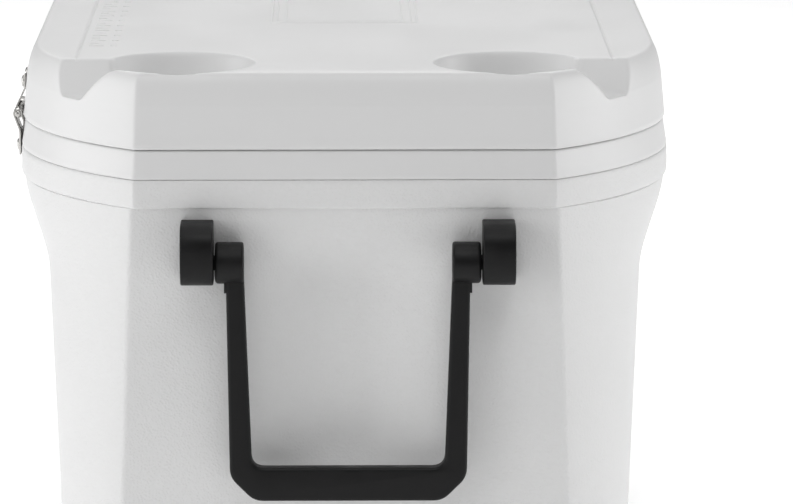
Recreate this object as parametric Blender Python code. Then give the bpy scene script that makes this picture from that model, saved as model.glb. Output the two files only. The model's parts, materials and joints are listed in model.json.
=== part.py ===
"""A large insulated cooler on wheels, as an assembly of separate pieces.

Frame: metres, +Z up, origin on the ground below the middle of the tub. X runs along the tub, with
the towing end at -X and the wheels at +X. The lid hinges along the +Y side.
"""
import math

import bmesh
import bpy
from mathutils import Matrix, Vector

# ---------------------------------------------------------------- overall sizes
TUB_LENGTH = 0.890            # over the rim, end to end
TUB_WIDTH = 0.4458            # over the rim, side to side
SEAM_HEIGHT = 0.420           # top of the tub's collar above the ground
LID_HEIGHT = 0.0503           # top of the lid above the seam
GROUND_CLEARANCE = 0.016      # underside of the tub above the ground
WALL = 0.003                  # every moulded plastic wall
REST_GAP = 0.0003             # left between pieces that touch
RUNNING_GAP = 0.00008         # radial, round a shaft that turns

# ---------------------------------------------------------------- plan outline
CORNER_TURN = math.radians(52)    # sweep of a corner's arc, from the side to its crease with the end
CORNER_STEPS = 6
CORNER_SETBACK_TOP = 0.0835       # from a crease to the side wall, at the rim
CREASE_STEP = 0.0020              # how far a crease stands out again below the rim
CREASE_SPREAD = 0.0140            # how much further apart the creases are at the foot
LINER_SETBACK = 0.058             # from a crease to the side wall, in the liner

# ---------------------------------------------------------------- tub
COLLAR_HEIGHT = 0.0197        # the liner's skirt, seen below the seam
COLLAR_TOP_INSET = 0.0029     # inset of the collar's top edge from the rim
COLLAR_EDGE = 0.0012
RIM_HEIGHT = 0.0173           # the shell's rim band below the collar
RIM_STEP = 0.0022             # the ledge below the rim band
SHOULDER_INSET = 0.0158       # how far the sides curve in below the rim
SHOULDER_HEIGHT = 0.062
SHOULDER_STEPS = 5
DRAFT = math.radians(2.6)     # taper of the tub's walls
FOOT_ROUND = 0.008            # rounding round the tub's underside
MOUTH_INSET = 0.042           # from the rim to the edge of the tub's mouth
LINER_DRAFT = math.radians(3.0)
LINER_FLOOR = 0.045           # inside floor above the ground
LINER_ROUND = 0.012           # cove between the inside floor and walls
SKID_LENGTH = 0.110
SKID_WIDTH = 0.034
SKID_OFFSET = 0.118           # from the middle of the tub to a skid
SKID_FROM_END = 0.052
SKID_SLOPE = 0.012

# ---------------------------------------------------------------- lid
LID_BOTTOM_INSET = 0.0017     # inset of the lid's lower edge from the rim
LID_SIDE_HEIGHT = 0.0387      # upright part of the lid's sides
LID_SIDE_INSET = 0.0035       # how far the sides lean in over that height
LID_ROLL_STEPS = 3
LID_ROLL_START = math.radians(28)
LID_PLUG_DEPTH = 0.010        # how far the lid's underside drops into the mouth
LID_PLUG_GAP = 0.0025
CUP_DIAMETER = 0.100
CUP_FLOOR_DIAMETER = 0.084
CUP_FROM_END = 0.061
CUP_FROM_MIDDLE = 0.110
CUP_DEPTH = 0.0231
CUP_STEPS = 20
TROUGH_FROM_END = 0.0535      # the drain trough that runs outwards from each cup
TROUGH_FLOOR_WIDTH = 0.021
TROUGH_TOP_WIDTH = 0.050

# ---------------------------------------------------------------- lid hinges
HINGE_FROM_MIDDLE = 0.255
HINGE_LENGTH = 0.060
HINGE_KNUCKLE = 0.022         # length of the middle knuckle, on the lid's leaf
HINGE_SIDE_GAP = 0.0004
HINGE_LEAF = 0.0012           # sheet thickness
PIN_DIAMETER = 0.004
PIN_STEPS = 16
PIN_OUTSIDE = 0.0023          # from the rim to the pin's axis
LEAF_HEIGHT_LID = 0.0285      # top of the lid's leaf above the seam
LEAF_HEIGHT_TUB = 0.0285      # bottom of the tub's leaf below the seam
LEAF_BEND_LID = 0.0160        # where each leaf leaves its wall for the pin
LEAF_BEND_TUB = 0.0115
KNUCKLE_STEPS = 9
KNUCKLE_WRAP = math.radians(285)
SCREW_HEAD_DIAMETER = 0.0084
SCREW_HEAD_HEIGHT = 0.0020
SCREW_SHANK_DIAMETER = 0.0036
SCREW_LENGTH = 0.009
SCREW_SPACING = 0.036
SCREW_STEPS = 10
SCREW_HEIGHT_LID = 0.0212     # above the seam
SCREW_HEIGHT_TUB = 0.0228     # below the seam
SCREW_DOME = ((0.92, 0.45), (0.62, 0.85), (0.0, 1.0))    # shares of the head's radius and height
HINGE_PAD = 0.0125            # solid plastic behind the lid's leaf, from the rim inwards

# ---------------------------------------------------------------- bail handles
BAIL_PIVOT_DROP = 0.0725      # pivot below the seam
BAIL_WIDTH = 0.1570           # over the arms, at the grip
BAIL_SHIFT = -0.0021          # the handles hang slightly nearer the front
BAIL_TAPER = 0.0021           # each arm leans in by this much on its way down
BAIL_ARM_TOP = 0.0117
BAIL_ARM_BOTTOM = 0.0147
BAIL_DEPTH = 0.012            # thickness, out from the wall
BAIL_GRIP_DROP = 0.2325       # underside of the grip below the seam
BAIL_GRIP_HEIGHT = 0.0225
BAIL_CORNER_CUT = 0.016
BAIL_INNER_ROUND = 0.008
BAIL_EDGE = 0.0022
BAIL_EYE_DIAMETER = 0.0275
BAIL_EYE_OUTSIDE = 0.0068     # how far the eye stands outside its arm
BAIL_EYE_GAP = 0.0012         # eye to bracket
BAIL_STUD_DIAMETER = 0.010
BAIL_STUD_LENGTH = 0.011
BAIL_WALL_GAP = 0.0022        # eye to end wall
ROUND_STEPS = 20
BRACKET_WIDTH = 0.0216
BRACKET_HEIGHT = 0.0412
BRACKET_TOP_DROP = 0.0462     # top of the bracket below the seam
BRACKET_BULGE = 0.0185        # front of the bracket beyond the pivot
BRACKET_EDGE = 0.0018
BRACKET_SIDE = 0.010          # flat part of the bracket's top and bottom
BRACKET_STEPS = 7
PLUG_WIDTH = 0.0030           # the bracket's snap-in blade through a slot in the wall
PLUG_HEIGHT = 0.026
PLUG_LENGTH = 0.014
PLUG_BARB = 0.0010
SCOOP_TOP_DROP = 0.057        # hand recess behind the bail
SCOOP_BOTTOM_DROP = 0.222
SCOOP_HALF_WIDTH = 0.066
SCOOP_SIDE_RUN = 0.032
SCOOP_TOP_RUN = 0.032
SCOOP_BOTTOM_RUN = 0.020
SCOOP_DEPTH = 0.014

# ---------------------------------------------------------------- wheels
WHEEL_DIAMETER = 0.150
WHEEL_WIDTH = 0.042
TYRE_THICKNESS = 0.009
TYRE_STEPS = 28
AXLE_FROM_END = 0.083
AXLE_DIAMETER = 0.010
WHEEL_WELL_GAP = 0.008        # round the tyre
WHEEL_SIDE_GAP = 0.0055       # wheel to the well's inner wall
WHEEL_INSET = 0.0165          # wheel's outer face inside the tub's side wall
WELL_WALL = 0.004
HUB_DIAMETER = 0.030
WEB_FROM_FACE = 0.010         # wheel's outer face to the middle of its web
WEB_THICKNESS = 0.005
SPOKE_HOLES = 5
SPOKE_HOLE_DIAMETER = 0.024
SPOKE_STEPS = 10
WASHER_DIAMETER = 0.020
WASHER_THICKNESS = 0.0015
AXLE_CAP_DIAMETER = 0.020
AXLE_CAP_LENGTH = 0.008
AXLE_CAP_SHOULDER = 0.6       # share of the cap's length at full diameter
AXLE_CAP_TOP = 0.7            # share of the cap's diameter at its end
LINER_STEP_FOAM = 0.018       # foam between the wheel box and the liner's step
TAIL_CHAMFER_RUN = 0.092      # underside cut up at the wheel end, so that the tub can tilt
TAIL_CHAMFER_RISE = 0.056

# ---------------------------------------------------------------- drain
DRAIN_HEIGHT = 0.0617
DRAIN_BORE = 0.018
DRAIN_TUBE = 0.024
DRAIN_FLANGE = 0.032
DRAIN_FLANGE_THICKNESS = 0.0025
DRAIN_GASKET_THICKNESS = 0.0020
DRAIN_BOSS = 0.040
DRAIN_BOSS_PROUD = 0.0030
DRAIN_NUT = 0.034
DRAIN_NUT_THICKNESS = 0.0060
DRAIN_CAP = 0.034
DRAIN_CAP_LENGTH = 0.0165
DRAIN_CAP_GAP = 0.0012        # cap to nut
DRAIN_CAP_WALL = 0.0024
DRAIN_BOSS_STAND = 0.0108     # inner boss beyond the liner's wall, clear of its cove
DRAIN_SEAL_THICKNESS = 0.0020
DRAIN_THREAD_GAP = 0.0003
DRAIN_STEPS = 20

# ---------------------------------------------------------------- worked out from the sizes above
HALF_LENGTH = TUB_LENGTH / 2
HALF_WIDTH = TUB_WIDTH / 2
COLLAR_FOOT = SEAM_HEIGHT - COLLAR_HEIGHT
RIM_FOOT = COLLAR_FOOT - RIM_HEIGHT
LID_TOP = SEAM_HEIGHT + LID_HEIGHT
MOUTH_LENGTH = HALF_LENGTH - MOUTH_INSET
MOUTH_WIDTH = HALF_WIDTH - MOUTH_INSET
PIN_AXIS = Vector((0, HALF_WIDTH + PIN_OUTSIDE, SEAM_HEIGHT))
AXLE_X = HALF_LENGTH - AXLE_FROM_END
AXLE_Z = WHEEL_DIAMETER / 2
WELL_RADIUS = WHEEL_DIAMETER / 2 + WHEEL_WELL_GAP
WHEEL_BOX_X = AXLE_X - WELL_RADIUS - WELL_WALL
WHEEL_BOX_Z = AXLE_Z + WELL_RADIUS + WELL_WALL
STEP_Z = WHEEL_BOX_Z + LINER_STEP_FOAM
BAIL_PIVOT_Z = SEAM_HEIGHT - BAIL_PIVOT_DROP
LID_LEAN = Vector((0, LID_SIDE_HEIGHT, LID_SIDE_INSET)).normalized()
TUB_LEAN = Vector((0, 1, 0))
SIDES = (("front", -1), ("back", 1))
ENDS = (("tow", -1), ("wheel", 1))
HINGES = (("1", -1), ("2", 1))
FAR = 1.0                     # longer than anything, for cutters


# ================================================================ building tools
def new_material(name, colour, roughness, metallic=0.0):
    material = bpy.data.materials.new(name)
    material.use_nodes = True
    shader = material.node_tree.nodes["Principled BSDF"]
    shader.inputs["Base Color"].default_value = (*colour, 1.0)
    shader.inputs["Roughness"].default_value = roughness
    shader.inputs["Metallic"].default_value = metallic
    material.diffuse_color = (*colour, 1.0)
    return material


def new_object(name, bm, material=None, smooth=None):
    """Turn a finished bmesh into an object with its faces pointing out."""
    bmesh.ops.recalc_face_normals(bm, faces=bm.faces)
    mesh = bpy.data.meshes.new(name)
    bm.to_mesh(mesh)
    bm.free()
    if smooth is not None:
        mesh.shade_smooth()
        mesh.set_sharp_from_angle(angle=math.radians(smooth))
    if material is not None:
        mesh.materials.append(material)
    item = bpy.data.objects.new(name, mesh)
    bpy.context.scene.collection.objects.link(item)
    return item


def new_tool(name, bm):
    """A solid that only cuts or adds to another, and isn't a piece itself."""
    item = new_object("tool_" + name, bm)
    item.hide_render = True
    item.display_type = "WIRE"
    return item


def combine(target, tool, operation):
    modifier = target.modifiers.new(tool.name, "BOOLEAN")
    modifier.operation = operation
    modifier.solver = "EXACT"
    modifier.object = tool
    return target


def cut(target, *tools):
    for tool in tools:
        combine(target, tool, "DIFFERENCE")
    return target


def add(target, *tools):
    for tool in tools:
        combine(target, tool, "UNION")
    return target


def keep_inside(target, tool):
    return combine(target, tool, "INTERSECT")


def loft(rings):
    """Join rings of equal length, one after another, and close both ends."""
    bm = bmesh.new()
    rows = [[bm.verts.new(point) for point in ring] for ring in rings]
    count = len(rows[0])
    for lower, upper in zip(rows, rows[1:]):
        for i in range(count):
            j = (i + 1) % count
            bm.faces.new((lower[i], lower[j], upper[j], upper[i]))
    bm.faces.new(rows[0][::-1])
    bm.faces.new(rows[-1])
    return bm


def prism(outline_points, axis, low, high):
    """Extrude a closed outline along X, Y or Z; its points give the other two axes in order."""
    def place(a, b, c):
        return {"X": (c, a, b), "Y": (a, c, b), "Z": (a, b, c)}[axis]
    return loft([[place(a, b, level) for a, b in outline_points] for level in (low, high)])


def box(x, y, z):
    """A block from three (low, high) pairs."""
    corners = [(x[0], y[0]), (x[1], y[0]), (x[1], y[1]), (x[0], y[1])]
    return prism(corners, "Z", z[0], z[1])


def circle(radius, steps, centre=(0.0, 0.0), outside=False):
    """Points of a circle; with outside set, its flats touch the circle instead of its corners."""
    reach = radius / math.cos(math.pi / steps) if outside else radius
    angles = [2 * math.pi * i / steps for i in range(steps)]
    return [(centre[0] + reach * math.cos(a), centre[1] + reach * math.sin(a)) for a in angles]


def turned(profile, steps):
    """Spin a closed (radius, height) profile about Z; a profile on the axis is closed there."""
    bm = bmesh.new()
    rows = []
    for radius, height in profile:
        if radius < 1e-9:
            rows.append([bm.verts.new((0, 0, height))])
        else:
            rows.append([bm.verts.new((x, y, height)) for x, y in circle(radius, steps)])
    for first, second in zip(rows, rows[1:] + rows[:1]):
        for i in range(steps):
            j = (i + 1) % steps
            corners = [first[i % len(first)], first[j % len(first)],
                       second[j % len(second)], second[i % len(second)]]
            corners = list(dict.fromkeys(corners))
            if len(corners) > 2:
                bm.faces.new(corners)
    return bm


def rod(axis, centre, radius, low, high, steps, outside=False):
    """A round bar along X or Y, from low to high; centre gives the other two axes in order."""
    return prism(circle(radius, steps, centre, outside), axis, low, high)


def aim(bm, point, direction):
    """Move a bmesh built along +Z so that its origin is at point and its axis along direction."""
    turn = Vector(direction).to_track_quat("Z", "Y").to_matrix().to_4x4()
    bmesh.ops.transform(bm, matrix=Matrix.Translation(point) @ turn, verts=bm.verts)
    return bm


def bevel_all(bm, width, angle=40, segments=1):
    """Round every edge sharper than angle."""
    bmesh.ops.recalc_face_normals(bm, faces=bm.faces)
    sharp = [e for e in bm.edges if e.calc_face_angle(0) > math.radians(angle)]
    bmesh.ops.bevel(bm, geom=sharp, offset=width, segments=segments, profile=0.5,
                    affect="EDGES", clamp_overlap=True)
    return bm


def hang_from(pivot, pieces):
    """Parent pieces, modelled in place, to an empty on their joint's axis."""
    for piece in pieces:
        piece.parent = pivot
        piece.matrix_parent_inverse = Matrix.Translation(-pivot.location)


def new_pivot(name, location):
    pivot = bpy.data.objects.new(name, None)
    pivot.location = location
    bpy.context.scene.collection.objects.link(pivot)
    return pivot


# ================================================================ plan outlines
def outline(half_length, half_width, setback, inset, z):
    """Flat ends and sides; each corner is an arc, tangent to the side and creased at the end."""
    radius = setback / (1 - math.cos(CORNER_TURN))
    centre_x = half_length - radius * math.sin(CORNER_TURN)
    centre_y = half_width - radius
    reach = radius - inset
    turn = math.asin((half_length - inset - centre_x) / reach)
    quarter = []
    for i in range(CORNER_STEPS + 1):
        angle = turn * i / CORNER_STEPS
        quarter.append((centre_x + reach * math.sin(angle), centre_y + reach * math.cos(angle)))
    ring = [(x, y, z) for x, y in reversed(quarter)]
    ring += [(-x, y, z) for x, y in quarter]
    ring += [(-x, -y, z) for x, y in reversed(quarter)]
    ring += [(x, -y, z) for x, y in quarter]
    return ring


def rim_ring(inset, z):
    return outline(HALF_LENGTH, HALF_WIDTH, CORNER_SETBACK_TOP, inset, z)


def tub_inset(z):
    """How far the tub's walls stand inside the rim, at a height below the rim band."""
    return RIM_STEP + (RIM_FOOT - z) * math.tan(DRAFT)


def shoulder(z):
    """The extra inset of the tub's sides, a smooth step below the rim."""
    t = min(1.0, max(0.0, (RIM_FOOT - z) / SHOULDER_HEIGHT))
    return SHOULDER_INSET * t * t * (3 - 2 * t)


def shoulder_levels():
    """Heights at which the curve below the rim is drawn, from the top down."""
    run = SHOULDER_HEIGHT - RIM_STEP
    return [RIM_FOOT - RIM_STEP - run * i / SHOULDER_STEPS for i in range(SHOULDER_STEPS + 1)]


def tub_ring(inset, z):
    """The tub's outside below the rim band, or a surface parallel to it."""
    length = HALF_LENGTH - tub_inset(z)
    width = HALF_WIDTH - tub_inset(z) - shoulder(z)
    share = (RIM_FOOT - z) / (RIM_FOOT - GROUND_CLEARANCE)
    crease = HALF_WIDTH - CORNER_SETBACK_TOP + CREASE_STEP + CREASE_SPREAD * share
    return outline(length, width, width - crease, inset, z)


def end_wall(z):
    """Distance of the tub's outer end wall from the middle."""
    return HALF_LENGTH - tub_inset(z)


def side_wall(z):
    """Distance of the tub's outer side wall from the middle."""
    return HALF_WIDTH - tub_inset(z) - shoulder(z)


def liner_inset(z):
    return (SEAM_HEIGHT - z) * math.tan(LINER_DRAFT)


def liner_ring(inset, z):
    """The liner's inside wall, or a surface parallel to it (a negative inset is further out)."""
    drop = liner_inset(z)
    return outline(MOUTH_LENGTH - drop, MOUTH_WIDTH - drop, LINER_SETBACK, inset, z)


def rounded_foot(ring_at, inset, floor, radius, steps=2):
    """Rings that round a wall into its floor, lowest first; a small radius is left square."""
    if radius < WALL / 2:
        return [ring_at(inset, floor)]
    rings = []
    for i in range(steps + 1):
        angle = math.pi / 2 * i / steps
        rings.append(ring_at(inset + radius * (1 - math.sin(angle)),
                             floor + radius * (1 - math.cos(angle))))
    return rings


# ================================================================ cutters shared by several pieces
def wheel_box(name, grow):
    """The block at the wheel end that the shell, foam and liner step over."""
    span = (WHEEL_BOX_X - grow, FAR)
    return new_tool(name, box(span, (-FAR, FAR), (-FAR, WHEEL_BOX_Z + grow)))


def scoop(name, end, grow):
    """The hand recess in an end wall, grown outwards by a wall's thickness."""
    rings = []
    for depth in (-SCOOP_DEPTH, SCOOP_DEPTH):
        share = depth / SCOOP_DEPTH
        side = SCOOP_HALF_WIDTH - SCOOP_SIDE_RUN * share + grow
        top = SEAM_HEIGHT - SCOOP_TOP_DROP - SCOOP_TOP_RUN * share + grow
        foot = SEAM_HEIGHT - SCOOP_BOTTOM_DROP + SCOOP_BOTTOM_RUN * share - grow
        inset = depth + grow * (share + 1) / 2
        corners = [(-side, foot), (side, foot), (side, top), (-side, top)]
        rings.append([(end * (end_wall(z) - inset), y + BAIL_SHIFT, z) for y, z in corners])
    return new_tool(name, loft(rings))


def cup_tool(name, end, side, grow):
    """One cup holder with its drain trough; grown, it is the block that holds the walls."""
    x = end * (HALF_LENGTH - CUP_FROM_END)
    y = side * CUP_FROM_MIDDLE
    floor = LID_TOP - CUP_DEPTH - grow
    slope = (CUP_DIAMETER - CUP_FLOOR_DIAMETER) / 2 / CUP_DEPTH
    rings = []
    for z in (floor, LID_TOP + CUP_DEPTH):
        radius = CUP_FLOOR_DIAMETER / 2 + slope * (z - floor - grow) + grow
        rings.append([(px, py, z) for px, py in circle(radius, CUP_STEPS, (x, y))])
    cup = new_tool(name, loft(rings))
    rise = (TROUGH_TOP_WIDTH - TROUGH_FLOOR_WIDTH) / 2 / CUP_DEPTH
    middle = end * (HALF_LENGTH - TROUGH_FROM_END)
    low = TROUGH_FLOOR_WIDTH / 2 + grow
    high = low + rise * 2 * CUP_DEPTH
    top = LID_TOP + CUP_DEPTH
    section = [(middle - low, floor), (middle + low, floor), (middle + high, top), (middle - high, top)]
    trough = new_tool(name + "_trough", prism(section, "Y", *sorted((y, side * FAR))))
    return add(cup, trough)


def each_cup():
    for end_name, end in ENDS:
        for side_name, side in SIDES:
            yield f"{end_name}_{side_name}", end, side


# ================================================================ the tub
def make_tub_shell(material):
    lip_inset = COLLAR_TOP_INSET + WALL + REST_GAP + COLLAR_EDGE
    lip_top = SEAM_HEIGHT - WALL - REST_GAP
    levels = shoulder_levels()
    rings = rounded_foot(tub_ring, 0, GROUND_CLEARANCE, FOOT_ROUND)
    rings += [tub_ring(0, z) for z in reversed(levels)]
    rings.append(rim_ring(0, RIM_FOOT))
    rings.append(rim_ring(0, COLLAR_FOOT - COLLAR_EDGE))
    rings.append(rim_ring(COLLAR_EDGE, COLLAR_FOOT))
    rings.append(rim_ring(lip_inset, COLLAR_FOOT))
    rings.append(rim_ring(lip_inset, lip_top))
    rings.append(rim_ring(lip_inset + WALL, lip_top))
    rings.append(rim_ring(lip_inset + WALL, RIM_FOOT))
    rings += [tub_ring(WALL, z) for z in levels[2:]]
    rings += rounded_foot(tub_ring, WALL, GROUND_CLEARANCE + WALL, FOOT_ROUND - WALL)[::-1]
    shell = new_object("tub_shell", loft(rings), material, smooth=30)

    core = rounded_foot(tub_ring, WALL / 2, GROUND_CLEARANCE + WALL / 2, FOOT_ROUND - WALL / 2)
    core += [tub_ring(WALL / 2, z) for z in reversed(levels[1:])]
    hull = new_tool("tub_hull", loft(core))
    block = keep_inside(wheel_box("wheel_block", 0), hull)
    add(shell, block)
    for name, end in ENDS:
        add(shell, keep_inside(scoop(f"scoop_wall_{name}", end, WALL), hull))
        cut(shell, scoop(f"scoop_{name}", end, 0))
    add(shell, drain_boss(), *skids())
    cut(shell, *wheel_cutters())
    for name, end in ENDS:
        cut(shell, *[bracket_hole(f"{name}_{side_name}", end, side) for side_name, side in SIDES])
    for screw in each_screw("tub"):
        cut(shell, screw_hole(*screw))
    return cut(shell, drain_hole("shell_drain"))


def skids():
    """Two runners that the towing end stands on."""
    start = -HALF_LENGTH + SKID_FROM_END
    stop = start + SKID_LENGTH
    top = GROUND_CLEARANCE + WALL / 2
    side = [(start, top), (start, SKID_SLOPE), (start + SKID_SLOPE, 0),
            (stop - SKID_SLOPE, 0), (stop, SKID_SLOPE), (stop, top)]
    tools = []
    for name, sign in SIDES:
        edges = sorted((sign * (SKID_OFFSET - SKID_WIDTH / 2), sign * (SKID_OFFSET + SKID_WIDTH / 2)))
        tools.append(new_tool(f"skid_{name}", prism(side, "Y", *edges)))
    return tools


def wheel_place():
    """The outer and inner face of a wheel, as distances from the middle of the tub."""
    outer = side_wall(AXLE_Z) - WHEEL_INSET
    return outer, outer - WHEEL_WIDTH


def well_face():
    """The inner wall of a wheel well, as a distance from the middle."""
    return wheel_place()[1] - WHEEL_SIDE_GAP


def wheel_cutters():
    """Two wheel wells, two hollows under the wheel box, the axle's bore and the tail chamfer."""
    tools = []
    face = well_face()
    for name, sign in SIDES:
        span = sorted((sign * face, sign * FAR))
        arch = new_tool(f"well_{name}", rod("Y", (AXLE_X, AXLE_Z), WELL_RADIUS, *span, ROUND_STEPS))
        front = new_tool(f"well_front_{name}", box((AXLE_X - WELL_RADIUS, FAR), span, (-FAR, AXLE_Z)))
        tools.append(add(arch, front))
        inner = sorted((sign * WELL_WALL / 2, sign * (face - WELL_WALL)))
        back = end_wall(GROUND_CLEARANCE) - WELL_WALL
        hollow = box((WHEEL_BOX_X + WELL_WALL, back), inner, (-FAR, WHEEL_BOX_Z - WELL_WALL))
        tools.append(new_tool(f"hollow_{name}", hollow))
    bore = AXLE_DIAMETER / 2 + REST_GAP
    tools.append(new_tool("axle_bore", rod("Y", (AXLE_X, AXLE_Z), bore, -FAR, FAR, ROUND_STEPS, True)))
    start = end_wall(GROUND_CLEARANCE) - TAIL_CHAMFER_RUN
    rise = (FAR - start) * TAIL_CHAMFER_RISE / TAIL_CHAMFER_RUN
    wedge = [(start, GROUND_CLEARANCE - REST_GAP), (FAR, -FAR), (FAR, GROUND_CLEARANCE + rise)]
    tools.append(new_tool("tail", prism(wedge, "Y", -FAR, FAR)))
    return tools


def make_tub_liner(material):
    skirt_foot = COLLAR_FOOT + REST_GAP
    skirt_inside = COLLAR_TOP_INSET + WALL
    wall_top = SEAM_HEIGHT - WALL
    core = rounded_foot(liner_ring, -WALL / 2, LINER_FLOOR - WALL / 2, LINER_ROUND + WALL / 2)
    body = new_tool("liner_hull", loft(core + [liner_ring(-WALL / 2, wall_top)]))
    rings = rounded_foot(liner_ring, -WALL, LINER_FLOOR - WALL, LINER_ROUND + WALL)
    rings.append(liner_ring(-WALL, wall_top))
    rings.append(rim_ring(skirt_inside, wall_top))
    rings.append(rim_ring(skirt_inside, skirt_foot))
    rings.append(rim_ring(REST_GAP, skirt_foot))
    rings.append(rim_ring(COLLAR_TOP_INSET, SEAM_HEIGHT - COLLAR_EDGE))
    rings.append(rim_ring(COLLAR_TOP_INSET + COLLAR_EDGE, SEAM_HEIGHT))
    rings.append(liner_ring(0, SEAM_HEIGHT))
    rings += rounded_foot(liner_ring, 0, LINER_FLOOR, LINER_ROUND)[::-1]
    liner = new_object("tub_liner", loft(rings), material, smooth=30)
    grow = STEP_Z - WHEEL_BOX_Z
    add(liner, keep_inside(wheel_box("step_wall", grow + WALL), body))
    cut(liner, wheel_box("step", grow))
    face = drain_inner_face()
    back = MOUTH_LENGTH - liner_inset(LINER_FLOOR) + WALL - REST_GAP
    add(liner, new_tool("liner_boss", rod("X", (0, DRAIN_HEIGHT), DRAIN_BOSS / 2, -back, -face,
                                          DRAIN_STEPS)))
    return cut(liner, drain_hole("liner_drain"))


def make_tub_foam(material):
    inset = WALL + REST_GAP
    top = SEAM_HEIGHT - WALL - REST_GAP * 2
    lip = COLLAR_TOP_INSET + 2 * WALL + 2 * REST_GAP + COLLAR_EDGE
    low = GROUND_CLEARANCE + inset
    outside = rounded_foot(tub_ring, inset, low, FOOT_ROUND - WALL)
    outside += [tub_ring(inset, z) for z in reversed(shoulder_levels()[2:])]
    rings = outside + [rim_ring(lip, RIM_FOOT), rim_ring(lip, top), liner_ring(-inset, top)]
    rings += rounded_foot(liner_ring, -inset, LINER_FLOOR - inset, LINER_ROUND + inset)[::-1]
    foam = new_object("tub_foam", loft(rings), material)
    fill = [tub_ring(inset * 2, low + inset), tub_ring(inset * 2, shoulder_levels()[-1])]
    foam_fill = new_tool("foam_fill", loft(fill))
    add(foam, keep_inside(wheel_box("foam_step", LINER_STEP_FOAM - REST_GAP), foam_fill))
    cut(foam, wheel_box("foam_box", REST_GAP))
    for name, end in ENDS:
        cut(foam, scoop(f"foam_scoop_{name}", end, WALL + REST_GAP))
        cut(foam, *[bracket_pocket(f"{name}_{side}", end, sign) for side, sign in SIDES])
    radius = DRAIN_BOSS / 2 + REST_GAP
    cut(foam, new_tool("foam_drain", rod("X", (0, DRAIN_HEIGHT), radius, -FAR, 0, DRAIN_STEPS, True)))
    return foam


# ================================================================ the lid
def lid_rings(inset, top, foot):
    """The lid's outside, or a surface parallel to it, from its lower edge to its deck."""
    lower = LID_BOTTOM_INSET + inset
    upper = lower + LID_SIDE_INSET
    roll_foot = SEAM_HEIGHT + LID_SIDE_HEIGHT
    rings = [rim_ring(lower, foot), rim_ring(upper, roll_foot)]
    first = (math.cos(LID_ROLL_START), math.sin(LID_ROLL_START))
    for i in range(1, LID_ROLL_STEPS + 1):
        angle = LID_ROLL_START + (math.pi / 2 - LID_ROLL_START) * i / LID_ROLL_STEPS
        across = (LID_TOP - roll_foot) * (first[0] - math.cos(angle)) / first[0]
        up = (top - roll_foot) * (math.sin(angle) - first[1]) / (1 - first[1])
        rings.append(rim_ring(upper + across, roll_foot + up))
    return rings


def make_lid_shell(material):
    foot = SEAM_HEIGHT + REST_GAP
    outer = lid_rings(0, LID_TOP, foot)
    inner = lid_rings(WALL, LID_TOP - WALL, foot)
    hull = new_tool("lid_hull", loft(lid_rings(WALL / 2, LID_TOP - WALL / 2, foot)))
    shell = new_object("lid_shell", loft(inner[::-1] + outer), material, smooth=30)
    for name, end, side in each_cup():
        add(shell, keep_inside(cup_tool(f"cup_wall_{name}", end, side, WALL), hull))
        cut(shell, cup_tool(f"cup_{name}", end, side, 0))
    for index, sign in HINGES:
        add(shell, keep_inside(hinge_pad(f"pad_{index}", sign, 0), hull))
    for screw in each_screw("lid"):
        cut(shell, screw_hole(*screw))
    return shell


def make_lid_liner(material):
    foot = SEAM_HEIGHT + REST_GAP
    edge = LID_BOTTOM_INSET + WALL + REST_GAP
    lean = LID_SIDE_INSET * WALL / LID_SIDE_HEIGHT
    plug = MOUTH_INSET + LID_PLUG_GAP
    bottom = SEAM_HEIGHT - LID_PLUG_DEPTH
    rings = [rim_ring(plug + WALL, bottom + WALL), rim_ring(plug + WALL, foot + WALL)]
    rings += [rim_ring(edge + lean, foot + WALL), rim_ring(edge, foot)]
    rings += [rim_ring(plug, foot), rim_ring(plug, bottom)]
    return new_object("lid_liner", loft(rings), material, smooth=30)


def make_lid_foam(material):
    foot = SEAM_HEIGHT + REST_GAP + WALL + REST_GAP
    plug = MOUTH_INSET + LID_PLUG_GAP + WALL + REST_GAP
    bottom = SEAM_HEIGHT - LID_PLUG_DEPTH + WALL + REST_GAP
    rings = [rim_ring(plug, bottom), rim_ring(plug, foot)]
    rings += lid_rings(WALL + REST_GAP + LID_SIDE_INSET * 2 * WALL / LID_SIDE_HEIGHT,
                       LID_TOP - WALL - REST_GAP, foot)
    foam = new_object("lid_foam", loft(rings), material)
    for name, end, side in each_cup():
        cut(foam, cup_tool(f"cup_foam_{name}", end, side, WALL + REST_GAP))
    for index, sign in HINGES:
        cut(foam, hinge_pad(f"pad_foam_{index}", sign, REST_GAP))
    return foam


# ================================================================ hinges
def hinge_wall(part, height):
    """Point on the wall that a leaf lies on, at a height above the seam."""
    if part == "lid":
        inset = LID_BOTTOM_INSET + LID_SIDE_INSET * height / LID_SIDE_HEIGHT
        return Vector((0, HALF_WIDTH - inset, SEAM_HEIGHT + height))
    return Vector((0, HALF_WIDTH, SEAM_HEIGHT + height))


def hinge_pad(name, sign, grow):
    """The thick part of the lid's side wall that the lid's hinge screws bite into."""
    half = HINGE_LENGTH / 2 + grow
    middle = sign * HINGE_FROM_MIDDLE
    low = SEAM_HEIGHT + SCREW_HEIGHT_LID - SCREW_HEAD_DIAMETER - grow
    high = SEAM_HEIGHT + SCREW_HEIGHT_LID + SCREW_HEAD_DIAMETER + grow
    return new_tool(name, box((middle - half, middle + half), (HALF_WIDTH - HINGE_PAD - grow, FAR),
                              (low, high)))


def leaf_normal(part):
    return LID_LEAN if part == "lid" else TUB_LEAN


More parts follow.
